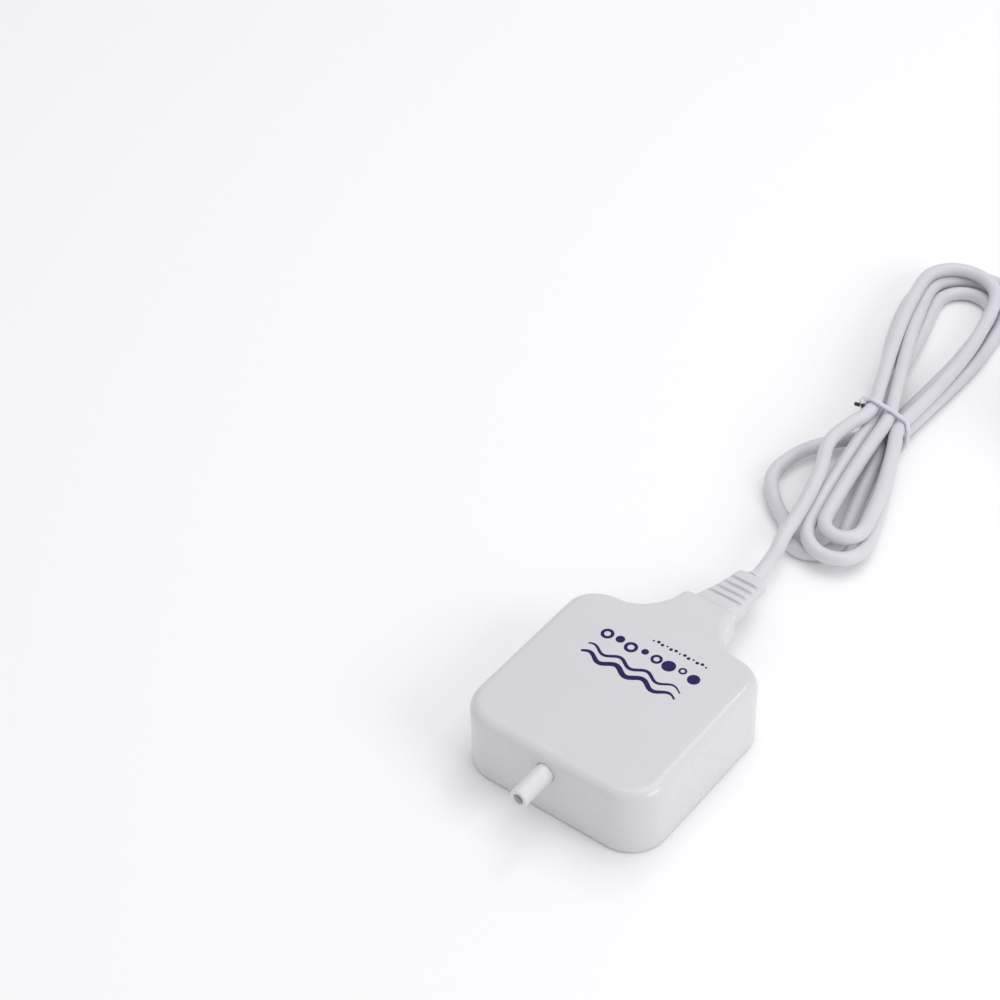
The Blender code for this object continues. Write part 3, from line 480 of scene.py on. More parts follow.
MOULDED = (  # slot, then moulded()'s own values
    ("case_plastic", "case_abs", (0.662, 0.650, 0.665), 0.28, 1.8, 0.004, 0.03, 0.015),
    ("base_plastic", "base_abs", (0.64, 0.63, 0.655), 0.42, 0.25, 0.008, 0.01),
    ("nozzle_plastic", "nozzle_abs", (0.70, 0.695, 0.71), 0.3, 1.2, 0.002, 0.006, 0.02),
    ("block_plastic", "block_nylon", (0.50, 0.52, 0.55), 0.5, 0.2, 0.02),
    ("silicone", "silicone", (0.62, 0.28, 0.20), 0.55, 0.4, 0.01),
    ("flap_rubber", "flap_rubber", (0.06, 0.06, 0.065), 0.65, 0.15, 0.01),
    ("resistor_lacquer", "resistor_lacquer", (0.20, 0.34, 0.50), 0.35, 0.5, 0.02),
    ("capacitor_case", "capacitor_case", (0.62, 0.42, 0.07), 0.38, 0.3, 0.01),
    ("varistor_epoxy", "varistor_epoxy", (0.06, 0.18, 0.46), 0.3, 0.9, 0.05),
    ("lead_brown", "lead_brown", (0.19, 0.08, 0.04), 0.4, 0.3, 0.005),
    ("lead_blue", "lead_blue", (0.04, 0.13, 0.44), 0.4, 0.3, 0.005),
    ("lead_red", "lead_red", (0.52, 0.04, 0.03), 0.4, 0.3, 0.005),
    ("lead_black", "lead_black", (0.03, 0.03, 0.03), 0.4, 0.3, 0.005),
    ("plug_pvc", "plug_pvc", (0.68, 0.67, 0.69), 0.4, 0.3, 0.004, 0.015),
    ("fuse_ceramic", "fuse_ceramic", (0.66, 0.66, 0.62), 0.3, 0.3, 0.01),
    ("sleeve", "pin_sleeve", (0.035, 0.035, 0.04), 0.45, 0.25, 0.008))


def make_materials():
    made = {slot: moulded(*values) for slot, *values in MOULDED}
    made["case_plastic"].set("Coat Weight", 0.25)
    made["case_plastic"].set("Coat Roughness", 0.12)
    made["piezo_brass"] = metal("piezo_brass", (0.78, 0.56, 0.24), 0.3, (1.0, 14.0, 1.0))
    made["piezo_silver"] = metal("piezo_silver", (0.80, 0.80, 0.78), 0.42, (9.0, 1.0, 1.0),
                                 0.2 * MM)
    made["screw_steel"] = metal("screw_zinc", (0.60, 0.61, 0.62), 0.33, (1.0, 1.0, 6.0))
    made["pin_brass"] = metal("pin_brass", (0.80, 0.62, 0.32), 0.22, (1.0, 1.0, 0.1), 0.15 * MM)
    made["wire_end"] = metal("wire_end", (0.07, 0.07, 0.07), 0.5)
    made["foam"] = foam()
    made["felt"] = felt()
    made["board_laminate"] = board()
    made["cord_pvc"] = cord_pvc("cord_pvc", (0.665, 0.655, 0.695), 0.38)
    made["relief_pvc"] = cord_pvc("relief_pvc", (0.665, 0.655, 0.685), 0.42)
    made["tie_plastic"] = tie_plastic()
    made["ink"] = ink()
    made["floor"] = Surface("floor", (0.97, 0.97, 0.97), 0.8)
    return {slot: surface.mat for slot, surface in made.items()}


def foam():
    s = Surface("foam", (0.13, 0.13, 0.14), 0.95)
    cells = s.node("ShaderNodeTexVoronoi", Scale=1.0 / (0.7 * MM))
    s.link(s.coords, cells.inputs["Vector"])
    s.bump(cells.outputs["Distance"], 0.35 * MM)
    s.tint(s.ramp(cells.outputs["Distance"], 0.0, 0.5), (0.03, 0.03, 0.03), 0.7)
    s.vary_roughness(s.noise(1.5 * MM), 0.04)
    return s


def felt():
    s = Surface("felt", (0.66, 0.65, 0.60), 0.95)
    fibres = s.noise(0.25 * MM, 6.0, (1.0, 5.0, 1.0), 0.7)
    s.bump(fibres, 0.2 * MM)
    s.tint(fibres, (0.45, 0.44, 0.40), 0.6)
    s.set("Sheen Weight", 0.4)
    return s


def board():
    s = Surface("board_laminate", (0.08, 0.28, 0.13), 0.35)
    weave = s.node("ShaderNodeTexBrick", Scale=1.0 / (1.1 * MM))
    s.link(s.coords, weave.inputs["Vector"])
    s.tint(weave.outputs["Fac"], (0.16, 0.40, 0.20), 0.6)
    s.bump(s.noise(0.3 * MM), 0.02 * MM, 0.5)
    s.vary_roughness(s.noise(3 * MM), 0.06)
    return s


def cord_pvc(name, colour, roughness):
    """Soft white PVC: fine grain, slow waves, duller patches."""
    s = Surface(name, colour, roughness)
    s.bump(s.noise(0.5 * MM, 3.0), 0.008 * MM, 0.4)
    s.bump(s.noise(5 * MM, 2.0), 0.08 * MM, 0.4)
    s.tint(s.ramp(s.noise(12 * MM, 4.0), 0.35, 0.7), tuple(c * 0.9 for c in colour), 0.35)
    s.vary_roughness(s.noise(3 * MM), 0.06)
    s.set("Subsurface Weight", 0.08)
    s.set("Subsurface Radius", (1.0, 0.9, 0.9))
    s.set("Subsurface Scale", 0.0012)
    return s


def tie_plastic():
    s = Surface("tie_plastic", (0.72, 0.72, 0.78), 0.25)
    s.bump(s.noise(0.4 * MM), 0.02 * MM)
    s.tint(s.noise(1.5 * MM), (0.52, 0.52, 0.62), 0.5)
    s.vary_roughness(s.noise(0.8 * MM), 0.08)
    return s


def ink():
    """Pad-printed navy: dense, slightly uneven, duller than the plastic."""
    s = Surface("navy_ink", (0.010, 0.007, 0.085), 0.5)
    s.set("Specular IOR Level", 0.2)
    s.bump(s.noise(0.12 * MM, 2.0), 0.004 * MM, 0.6)
    s.tint(s.ramp(s.noise(0.6 * MM, 5.0), 0.45, 0.8), (0.03, 0.02, 0.15), 0.6)
    s.vary_roughness(s.noise(0.5 * MM), 0.08)
    return s


# ---- the cord's line
def hank_point(along, across, height):
    """A point in the hank's frame, in millimetres from its tie."""
    return HANK_TIE + (HANK_AXIS * along + HANK_SIDE * across + Vector((0, 0, height))) * MM


def in_hank(spots):
    return [hank_point(*spot) for spot in spots]


def smooth_curve(points, spacing):
    """Evenly spaced points on a Catmull-Rom curve through the given ones."""
    pts = [Vector(p) for p in points]
    pts = [2 * pts[0] - pts[1]] + pts + [2 * pts[-1] - pts[-2]]
    fine = []
    for a, b, c, d in zip(pts, pts[1:], pts[2:], pts[3:]):
        for i in range(16):
            t = i / 16
            fine.append(0.5 * (2 * b + (c - a) * t + (2 * a - 5 * b + 4 * c - d) * t * t
                               + (3 * b - a - 3 * c + d) * t ** 3))
    fine.append(pts[-2])
    run = np.cumsum([0.0] + [(q - p).length for p, q in zip(fine, fine[1:])])
    want = np.linspace(0.0, run[-1], max(2, round(run[-1] / spacing) + 1))
    flat = np.array([tuple(p) for p in fine])
    return np.stack([np.interp(want, run, flat[:, k]) for k in range(3)], axis=1)


def lobe(way, leave, arrive, end, radius, middle, height, bulge=0.0):
    """One end of the hank, in its frame: out from slot leave, round the end, back to slot arrive.

    way is -1 for the end near the pump and 1 for the far end. Slots are (across, height) at the
    tie. The fold is a half circle about across = middle, and bulge pushes the return leg out.
    """
    straight = end - radius

    def leg(side, slot, extra):
        rows = []
        for t in (0.0, 0.16, 0.36, 0.62, 0.86):
            swell = sin(t * pi / 2) ** 1.15
            full = middle + side * radius
            across = slot[0] + (full - slot[0]) * swell + side * extra * sin(pi * t)
            rows.append((way * straight * t, across, slot[1] + (height - slot[1]) * min(1, 2 * t)))
        return rows

    fold = [(way * (straight + radius * sin(a)), middle - way * radius * cos(a), height)
            for a in (pi * i / 6 for i in range(7))]
    return leg(-way, leave, 0.0) + fold + leg(way, arrive, bulge)[::-1]


# The hank in millimetres: slots at the tie; end, radius, middle, height and bulge of each lobe;
# and (along, across, height) of the cord's way in and out.
UP_SLOTS = [(-3.4, 10.2), (0.0, 7.2), (-4.2, 6.6), (-2.1, 3.6)]
DOWN_SLOTS = [(1.2, 10.8), (4.2, 7.4), (2.1, 3.6)]
FAR_LOBES = [(82.0, 10.6, 4.4, 6.3), (85.5, 11.6, 5.0, 3.5), (77.0, 10.2, 5.6, 2.1)]
NEAR_LOBES = [(52.0, 5.4, 1.2, 5.6), (57.4, 8.2, 0.2, 3.2), (55.0, 8.6, -5.6, 2.1, 15.0)]
LEAD_IN_HANK = [(-59.1, -8.1, 6.8), (-54.5, -7.8, 6.5), (-49.0, -7.4, 6.0), (-39.0, -7.4, 5.0),
                (-28.0, -8.4, 4.4), (-18.0, -10.2, 4.8), (-9.0, -7.6, 7.2)]
TAIL_IN_HANK = [(16.0, -2.6, 3.0), (33.0, -6.4, 2.1), (52.0, -9.6, 2.1), (68.0, -10.4, 2.1),
                (80.0, -7.6, 2.1), (86.6, 0.5, 2.2)]
CORD_STEP = 2.5 * MM
BEND_R = 6.0 * MM
BEND_SPANS = (2, 3, 5)  # steps between the points whose chords keep the bends open
MEMORY_SPANS = (3, 6)  # the cord's set is kept over these many steps each way
MEMORY_PULL = 0.22
BEND_PULL = 0.25
LENGTH_PULL = 0.4
CONTACT_PUSH = 0.3
SMOOTHING = 0.06
FALL = 0.05 * MM  # per round
LONGEST_MOVE = 0.5 * MM  # per round
PINNED = (7, 10)  # points at the two ends that stay where they are
ROUNDS = 760
CALM_ROUNDS = 120  # the last rounds, in which the line no longer falls


def first_guess():
    """The cord's line before it settles: lead, the turns through the tie, tail."""
    line = LEAD_ROUTE + in_hank(LEAD_IN_HANK)
    for k, down in enumerate(DOWN_SLOTS):
        line += in_hank(lobe(1, UP_SLOTS[k], down, *FAR_LOBES[k]))
        line += in_hank(lobe(-1, down, UP_SLOTS[k + 1], *NEAR_LOBES[k])[1:-1])
    line += in_hank([(0.0, *UP_SLOTS[-1])] + TAIL_IN_HANK) + TAIL_ROUTE
    return smooth_curve(line, CORD_STEP)


def set_of(p, span):
    """How far each point lies off the middle of its neighbours span steps away."""
    return (p[:-2 * span] + p[2 * span:]) / 2 - p[span:-span]


def keep_set(p, rest, span):
    """Springs the line back towards the curvature that it was wound with."""
    pull = (set_of(p, span) - rest) * MEMORY_PULL
    p[span:-span] += pull
    p[:-2 * span] -= pull / 2
    p[2 * span:] -= pull / 2


def near_pairs(p, reach):
    """Index pairs of points closer than reach that aren't neighbours along the line."""
    i, j = np.triu_indices(len(p), 5)
    close = ((p[i] - p[j]) ** 2).sum(1) < reach ** 2
    return i[close], j[close]


def keep_chords(p, span):
    """Opens any bend tighter than BEND_R, by the chord between points span steps apart."""
    least = 2 * BEND_R * sin(span * CORD_STEP / 2 / BEND_R)
    gap = p[span:] - p[:-span]
    length = np.linalg.norm(gap, axis=1)
    short = gap * (np.clip(least - length, 0.0, 1.0 * MM) / length * BEND_PULL)[:, None]
    p[span:] += short
    p[:-span] -= short


def keep_lengths(p, rest):
    gap = p[1:] - p[:-1]
    length = np.linalg.norm(gap, axis=1)
    fix = gap * ((length - rest) / length * LENGTH_PULL)[:, None]
    p[:-1] += fix
    p[1:] -= fix


def keep_apart(p, pairs):
    """Pushes touching turns a diameter apart."""
    i, j = pairs
    apart = p[i] - p[j]
    dist = np.sqrt((apart ** 2).sum(1)) + 1e-9
    push = apart * (np.clip(CORD_D * 1.02 - dist, 0.0, None) / dist * CONTACT_PUSH)[:, None]
    np.add.at(p, i, push)
    np.add.at(p, j, -push)


def keep_in_tie(p):
    """Holds the strands inside the tie's loop, and above its wire where they cross it."""
    off = p - np.array(HANK_TIE)
    along = np.abs(off @ np.array(HANK_AXIS))
    across = off @ np.array(HANK_SIDE)
    past = np.maximum(along - TIE_GRIP, 0.0)
    room = TIE_ROOM + 0.6 * past
    near = along < TIE_REACH
    held = np.clip(across, TIE_SHIFT - room, TIE_SHIFT + room)
    p[near] += np.outer((held - across)[near], np.array(HANK_SIDE))
    hump = HUMP * np.cos(np.clip(along / HUMP_REACH, 0.0, 1.0) * pi / 2) ** 2
    lid = TIE_LID + 0.4 * past
    p[:, 2] = np.maximum(p[:, 2], CORD_R + hump)
    p[near, 2] = np.minimum(p[near, 2], lid[near])


def settle(line):
    """Lets the line fall and push itself apart until its turns lie beside and on each other."""
    p = line.copy()
    rest = np.linalg.norm(np.diff(p, axis=0), axis=1)
    memory = {span: set_of(p, span) * (1.0, 1.0, 0.0) for span in MEMORY_SPANS}
    ends = np.r_[0:PINNED[0], len(p) - PINNED[1]:len(p)]
    for step in range(ROUNDS):
        if step % 8 == 0:
            pairs = near_pairs(p, CORD_D * 1.9)
        calming = step > ROUNDS - CALM_ROUNDS
        old = p.copy()
        if not calming:
            p[:, 2] -= FALL
        for span, shape in memory.items():
            keep_set(p, shape, span)
        for _ in range(2 if calming else 4):
            for span in BEND_SPANS:
                keep_chords(p, span)
            keep_lengths(p, rest)
            keep_apart(p, pairs)
        keep_in_tie(p)
        bend = p[:-4] - 4 * p[1:-3] + 6 * p[2:-2] - 4 * p[3:-1] + p[4:]
        p[2:-2] -= SMOOTHING * bend
        p[ends] = line[ends]
        move = p - old
        far = np.linalg.norm(move, axis=1)
        p = old + move * np.minimum(1.0, LONGEST_MOVE / np.maximum(far, 1e-9))[:, None]
    return p


def make_cord():
    line = settle(first_guess())
    cord = curve_piece("mains_cord", [Vector(p) for p in line], CORD_R, "cord_pvc", True, 7)
    cord.data.splines[0].resolution_u = 2
    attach(cord, "housing")
    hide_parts("cord_tube", "cord_hank", "cord_tail")
    return cord, line


# ---- casing
def casing_top(y):
    """Height of the top at a distance along the body: level, then falling along the neck."""
    run = y - TOP_SLOPE_START
    return BODY_TOP - TOP_SLOPE * (sqrt(run * run + TOP_SLOPE_EASE ** 2) + run) / 2


def crown(x, y):
    """The square top's faint dome."""
    u = min(abs(x) / (BODY_HALF - TOP_R), 1.0)
    v = min(abs(y) / (BODY_HALF - TOP_R), 1.0)
    return CROWN * (1 - u * u) * (1 - v * v)


def casing_under(y):
    """Rise of the underside along the neck."""
    t = min(max((y - UNDER_START) / UNDER_RUN, 0.0), 1.0)
    return UNDER_RISE * t * t * (3 - 2 * t)


def plate_top(y):
    rise = casing_under(y)
    return rise + PLATE_T + (TONGUE_T - PLATE_T) * rise / UNDER_RISE


def edge_radius(y, body_r, neck_r):
    """Radius of the top edge, which changes from the square body's to the neck's."""
    t = min(max((y - BODY_HALF) / (FILLET_END - BODY_HALF), 0.0), 1.0)
    return body_r + (neck_r - body_r) * t


def half_outline():
    """Points and outward normals of the right half of the outline, from nozzle side to neck."""
    spots = []

    def arc(cx, cy, radius, start, end, steps):
        for i in range(steps + 1):
            a = radians(start + (end - start) * i / steps)
            spots.append(((cx + radius * cos(a), cy + radius * sin(a)), (cos(a), sin(a))))

    inner = BODY_HALF - CORNER_R
    runs = [(2 * i + 1) / (2 * END_RUN + 1) for i in range(END_RUN)]
    for t in runs:
        spots.append(((inner * t, -BODY_HALF), (0.0, -1.0)))
    arc(inner, -inner, CORNER_R, -90, 0, 20)
    for i in range(1, 12):
        spots.append(((BODY_HALF, inner * (i / 6 - 1)), (1.0, 0.0)))
    arc(inner, inner, CORNER_R, 0, 90, 20)
    wide = FILLET_X - NECK_HALF
    deep = FILLET_END - BODY_HALF
    for i in range(1, 29):
        a = radians(90 * i / 28)
        w = sin(a) ** (2 / FILLET_POWER)
        u = max(cos(a), 0.0) ** (2 / FILLET_POWER)
        normal = Vector((w ** (FILLET_POWER - 1) / wide, u ** (FILLET_POWER - 1) / deep))
        spots.append(((FILLET_X - wide * w, FILLET_END - deep * u), normal.normalized()))
    arc(NECK_HALF - NECK_CORNER_R, FILLET_END, NECK_CORNER_R, 12, 90, 8)
    for t in reversed(runs):
        spots.append((((NECK_HALF - NECK_CORNER_R) * t, NECK_END), (0.0, 1.0)))
    return spots


OUTLINE = half_outline()
CORNERS = [(sx * BOSS_XY, sy * BOSS_XY) for sy in (-1, 1) for sx in (-1, 1)]


def outline_ring(inset, height):
    """One closed ring; inset and height are functions of the place along Y."""
    right = []
    for (x, y), (nx, ny) in OUTLINE:
        d = inset(y)
        right.append((x - nx * d, y - ny * d, height(y)))
    return right + [(-x, y, z) for x, y, z in reversed(right)]


def close_ring(bm, row, lift=None):
    """Closes a mirrored ring with a grid of faces, lifted by a function of x and y.

    The straight runs across the two ends are the grid's first and last rows.
    """
    n = len(row)
    h = n // 2
    k = END_RUN
    rows = [row[k::-1] + row[:n - k - 2:-1]]
    for i in range(k + 1, h - k - 1):
        a, b = row[i], row[n - 1 - i]
        line = [a]
        for j in range(1, 2 * k + 1):
            co = a.co.lerp(b.co, j / (2 * k + 1))
            if lift:
                co.z += lift(co.x, co.y)
            line.append(bm.verts.new(co))
        rows.append(line + [b])
    rows.append(row[h - k - 1:h] + row[h:h + k + 1])
    for low, high in zip(rows, rows[1:]):
        for j in range(2 * k + 1):
            bm.faces.new((low[j], low[j + 1], high[j + 1], high[j]))


def low_rings(inset, low, edge):
    """Rings that follow the underside; edge is a list of (inset, rise)."""
    return [outline_ring(lambda y, d=d: inset + d, lambda y, h=h: casing_under(y) + low + h)
            for d, h in edge]


def shell_skin(inset, rim, radii):
    """Rings of one skin of the shell, from its rim up to the edge of its top."""
    rings = low_rings(inset, RIM_Z, rim)
    for d, h in reversed(quarter(1.0, 10)):
        rings.append(outline_ring(
            lambda y, d=d: inset + edge_radius(y, *radii) * d,
            lambda y, h=h: casing_top(y) - inset - edge_radius(y, *radii) * h))
    return rings


def make_shell():
    """Hollow top shell with bosses, the nozzle's hole and the relief's opening."""
    outer = shell_skin(0.0, quarter(RIM_R, 4) + [(0.0, 3 * MM)], (TOP_R, NECK_TOP_R))
    inner = shell_skin(WALL, [(0.0, 0.0), (0.0, 4 * MM)], (TOP_R - WALL, 0.25 * MM))
    bm = bmesh.new()
    out_rows = bridge(bm, outer)
    in_rows = bridge(bm, inner)
    close_ring(bm, out_rows[-1], crown)
    close_ring(bm, in_rows[-1], crown)
    band(bm, out_rows[0], in_rows[0])
    shell = add_mesh("case_shell", bm, "case_plastic")
    hole = round_bar(NOZZLE_R + 0.12 * MM, (0, -BODY_HALF - 2 * MM, NOZZLE_Z), 6 * MM, "Y", 64)
    window = rounded_box((-WINDOW_HALF, NECK_END - WALL - 2 * MM, WINDOW_Z[0]),
                         (WINDOW_HALF, NECK_END + 2 * MM, WINDOW_Z[1]), 0.5 * MM)
    cut(shell, [hole, window])
    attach(shell, "housing")
    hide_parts("top_shell")
    for number, (x, y) in enumerate(CORNERS, 1):
        make_boss(number, x, y)


def make_boss(number, x, y):
    """A screw pillar hanging from the shell's top, with its pilot bore."""
    top = BODY_TOP - WALL
    low = PLATE_T + GAP
    profile = [(BOSS_R, top), (BOSS_R, low + 0.3 * MM), (BOSS_R - 0.3 * MM, low),
               (SCREW_R + 0.15 * MM, low), (SCREW_R, low + 0.4 * MM), (SCREW_R, low + 12 * MM),
               (0.0, low + 12.6 * MM), (0.0, top)]
    boss = turned_mesh("case_boss_%d" % number, profile, Matrix.Translation((x, y, 0)),
                       "case_plastic", 40)
    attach(boss, "housing")


def make_plate():
    """Base plate with countersunk screw wells, the inlet's holes and the cup's seat."""
    inset = WALL + GAP
    rings = low_rings(inset, 0.0, PLATE_EDGE)
    rings.append(outline_ring(lambda y: inset, plate_top))
    bm = bmesh.new()
    rows = bridge(bm, rings)
    close_ring(bm, rows[0])
    close_ring(bm, rows[-1])
    plate = add_mesh("case_base", bm, "base_plastic")
    tools = []
    for x, y in CORNERS:
        tools.append(round_bar(SCREW_HEAD_R + 0.25 * MM, (x, y, -1 * MM), 2.5 * MM, "Z", 48))
        tools.append(round_bar(SCREW_R + 0.3 * MM, (x, y, -1 * MM), 5 * MM, "Z", 32))
    for i in range(7):
        a = radians(60 * i)
        reach = VENT_PITCH_R if i < 6 else 0.0
        spot = (reach * cos(a), MODULE_Y + reach * sin(a), -1 * MM)
        tools.append(round_bar(VENT_R, spot, 5 * MM, "Z", 28))
    tools.append(round_bar(CUP_SEAT_R, (0, CUP_SEAT_Y, -1 * MM), 2.2 * MM, "Z", 72))
    cut(plate, tools)
    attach(plate, "housing")
    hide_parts("base_plate")
    rib = turned_mesh("case_base_ring", [(6.6 * MM, 0.02 * MM), (6.6 * MM, 0.35 * MM),
                                         (5.9 * MM, 0.35 * MM), (5.9 * MM, 0.02 * MM)],
                      Matrix.Translation((0, MODULE_Y, 0)), "base_plastic", 80)
    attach(rib, "housing")


def make_case_screws():
    """Thread-forming screws with cross recesses."""
    names = ("front_left", "front_right", "rear_left", "rear_right")
    for name, (x, y) in zip(names, CORNERS):
        under = GAP + SCREW_HEAD_H
        end = under + SCREW_LEN
        profile = [(0.0, end), (SCREW_R * 0.35, end - 0.3 * MM)]
        for i in range(int((SCREW_LEN - 2.0 * MM) / SCREW_PITCH)):
            z = end - 1.0 * MM - i * SCREW_PITCH
            profile += [(SCREW_R * 0.78, z), (SCREW_R, z - SCREW_PITCH * 0.5)]
        profile += [(SCREW_R * 0.8, under), (SCREW_HEAD_R, under - 0.1 * MM)]
        profile += [(SCREW_HEAD_R - d, GAP + h) for d, h in reversed(quarter(SCREW_EDGE_R, 3))]
        profile += [(0.0, GAP)]
        screw = turned_mesh("screw_" + name, profile, Matrix.Translation((x, y, 0)),
                            "screw_steel", 40)
        arms = [rounded_box((x - a, y - b, -1 * MM), (x + a, y + b, GAP + SLOT_DEEP), 0.1 * MM)
                for a, b in (SLOT_HALF, SLOT_HALF[::-1])]
        cut(screw, arms)
        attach(screw, "housing")
        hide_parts("case_screw_" + name)


def make_nozzle():
    """The outlet tube: rounded lip, open bore, flange and stub inside the casing."""
    wall_in = -BODY_HALF + WALL
    block_front = MODULE_Y - BLOCK_R
    profile = [(STUB_R, block_front + 3 * MM), (STUB_R, block_front - GAP),
               (FLANGE_R, block_front - GAP), (FLANGE_R, wall_in + 0.1 * MM),
               (NOZZLE_R, wall_in + 0.1 * MM), (NOZZLE_R, -BODY_HALF - 2 * MM)]
    profile += arc_points(NOZZLE_R - LIP_R, NOZZLE_TIP + LIP_R, LIP_R, 0, -90, 8)
    profile += arc_points(NOZZLE_BORE + 0.3 * MM, NOZZLE_TIP + 0.3 * MM, 0.3 * MM, -90, -180, 6)
    profile += [(NOZZLE_BORE, wall_in - 0.6 * MM), (STUB_BORE, wall_in),
                (STUB_BORE, block_front + 3 * MM)]
    place = Matrix.Translation((0, 0, NOZZLE_Z)) @ TURN_TO["Y"]
    nozzle = turned_mesh("nozzle_tube", profile, place, "nozzle_plastic", 96)
    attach(nozzle, "housing")
    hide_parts("outlet_nozzle")


# ---- printed decoration
def print_height(x, y):
    return casing_top(y) + crown(x, y)


def print_strip(bm, path, widths):
    """A closed ribbon of ink along a path of (x, y) points, with the widths given."""
    sides = []
    for i, (x, y) in enumerate(path):
        a, b = path[max(i - 1, 0)], path[min(i + 1, len(path) - 1)]
        along = Vector((b[0] - a[0], b[1] - a[1])).normalized()
        nx, ny = -along.y * widths[i] / 2, along.x * widths[i] / 2
        sides.append(((x + nx, y + ny), (x - nx, y - ny)))
    bridge(bm, [[(px, py, print_height(px, py) + dz)
                 for (px, py), dz in ((l, INK_T), (r, INK_T), (r, INK_ROOT), (l, INK_ROOT))]
                for l, r in sides], True)


def print_ring(bm, x, y, radius, hole=0.0):
    """A dot, or a bubble's ring, of ink."""
    angles = [2 * pi * i / 28 for i in range(28)]

    def circle(r, dz):
        return [(x + r * cos(a), y + r * sin(a),
                 print_height(x + r * cos(a), y + r * sin(a)) + dz) for a in angles]

    if hole:
        made = bridge(bm, [circle(hole, INK_ROOT), circle(radius, INK_ROOT),
                           circle(radius, INK_T), circle(hole, INK_T)])
        band(bm, made[-1], made[0])
    else:
        bridge(bm, [circle(radius, INK_ROOT), circle(radius, INK_T)], True)


def make_print():
    """Navy pad print on the top: rolling waves, a row of bubbles and a fine dotted line."""
    bm = bmesh.new()
    left, right = PRINT_X
    shares = [i / WAVE_STEPS for i in range(WAVE_STEPS + 1)]
    taper = [sin(pi * min(1.0, 0.04 + t) * 0.98) ** 0.35 for t in shares]
    for y, thick, swing, phase in WAVES:
        path = [(left + WAVE_LEN * t, y + swing * sin(phase + 2 * pi * WAVE_COUNT * t))
                for t in shares]
        print_strip(bm, path, [thick * t for t in taper])
    reach = (right - left) / len(BUBBLES)
    for i, size in enumerate(BUBBLES):
        x = left + reach * (i + 0.5)
        y = BUBBLE_Y + 0.45 * MM * sin(2.4 * i)
        print_ring(bm, x, y, size, size * 0.5 if i % 2 == 0 else 0.0)
    for i in range(DOT_COUNT):
        print_ring(bm, left + DOTS_X + i * DOT_PITCH, DOTS_Y + DOT_ZIGZAG * (i % 2),
                   DOT_RADII[i % len(DOT_RADII)])
    ink_piece = add_mesh("print_waves", bm, "ink")
    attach(ink_piece, "housing")


# ---- strain relief
RELIEF_Y = np.array([44.3, 49.7, 53.7, 59.3, 64.5]) * MM
RELIEF_SIZES = np.array([(6.6, 6.2, 5.6, 4.9, 4.5),  # half widths
                         (3.3, 3.0, 2.85, 2.75, 2.6),  # half heights
                         (12.7, 11.2, 10.3, 9.25, 8.6)]) * MM  # heights of the centre
GROOVES = [49.7 * MM, 52.9 * MM, 56.1 * MM, 59.3 * MM]
GROOVE_HALF = 0.75 * MM
GROOVE_DEEP = 0.95 * MM


def relief_section(y, half_wide, half_high, centre_z, groove=0.0):
    """A rounded flat section; a groove sinks its top and bottom, not its sides."""
    ring = []
    for i in range(64):
        c, s = squarish(2 * pi * i / 64, 0.52)
        high = half_high - groove * (1 - abs(c) ** 5)
        ring.append((half_wide * c, y, centre_z + high * s))
    return ring


def relief_groove(y):
    """Depth of the rounded grooves at a distance along the relief."""
    off = min(abs(y - g) for g in GROOVES) / GROOVE_HALF
    return GROOVE_DEEP * (1 - off ** 4) if off < 1.0 else 0.0


def relief_rounding(y):
    """How far the surface sinks at the relief's rounded ends."""
    nearest = min((y - RELIEF_Y[0]) / (0.8 * MM), (RELIEF_Y[-1] - y) / (1.4 * MM))
    if nearest >= 1.0:
        return 0.0
    return 1.2 * MM * (1 - sqrt(max(0.0, 1 - (1 - max(nearest, 0.0)) ** 2)))


def make_relief():
    """Flange and waist in the neck's end wall, then the ribbed tail round the cord."""
    wall = NECK_END - WALL - GAP
    rings = [relief_section(y, wide * MM, 2.3 * MM, centre * MM)
             for y, wide, centre in ((40.4 * MM, 6.0, 13.1), (wall, 6.0, 13.1),
                                     (wall + 0.02 * MM, 4.5, 13.0),
                                     (RELIEF_Y[0] - 0.25 * MM, 4.5, 12.85))]
    for y in np.arange(RELIEF_Y[0], RELIEF_Y[-1] + 0.01 * MM, 0.15 * MM):
        wide, high, centre = (np.interp(y, RELIEF_Y, row) for row in RELIEF_SIZES)
        sink = relief_rounding(y)
        rings.append(relief_section(y, wide - sink, high - sink, centre, relief_groove(y)))
    relief = loft("ribbed_relief", rings, "relief_pvc", 50.0)
    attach(relief, "housing")
    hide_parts("strain_relief")
    profile = [(CORD_R + 0.02 * MM, 0.0), (CORD_R + 0.02 * MM, 1.5 * MM),
               (CORD_R + 0.20 * MM, 1.5 * MM), (CORD_R + 0.35 * MM, 1.2 * MM),
               (CORD_R + 0.55 * MM, 0.0)]
    place = Matrix.Translation((0, RELIEF_Y[-1] - 0.4 * MM, RELIEF_SIZES[2, -1])) @ TURN_TO["Y"]
    collar = turned_mesh("relief_collar", profile, place, "relief_pvc", 40)
    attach(collar, "housing")


# ---- tie
def strands_at_tie(line):
    """Where the cord's line crosses the tie's plane, as (across, height)."""
    off = line - np.array(HANK_TIE)
    along = off @ np.array(HANK_AXIS)
    spots = []
    for i in range(len(line) - 1):
        if along[i] * along[i + 1] <= 0 and np.linalg.norm(off[i]) < 20 * MM:
            t = along[i] / (along[i] - along[i + 1])
            p = off[i] + (off[i + 1] - off[i]) * t
            spots.append((float(p @ np.array(HANK_SIDE)), float(p[2])))
    return spots


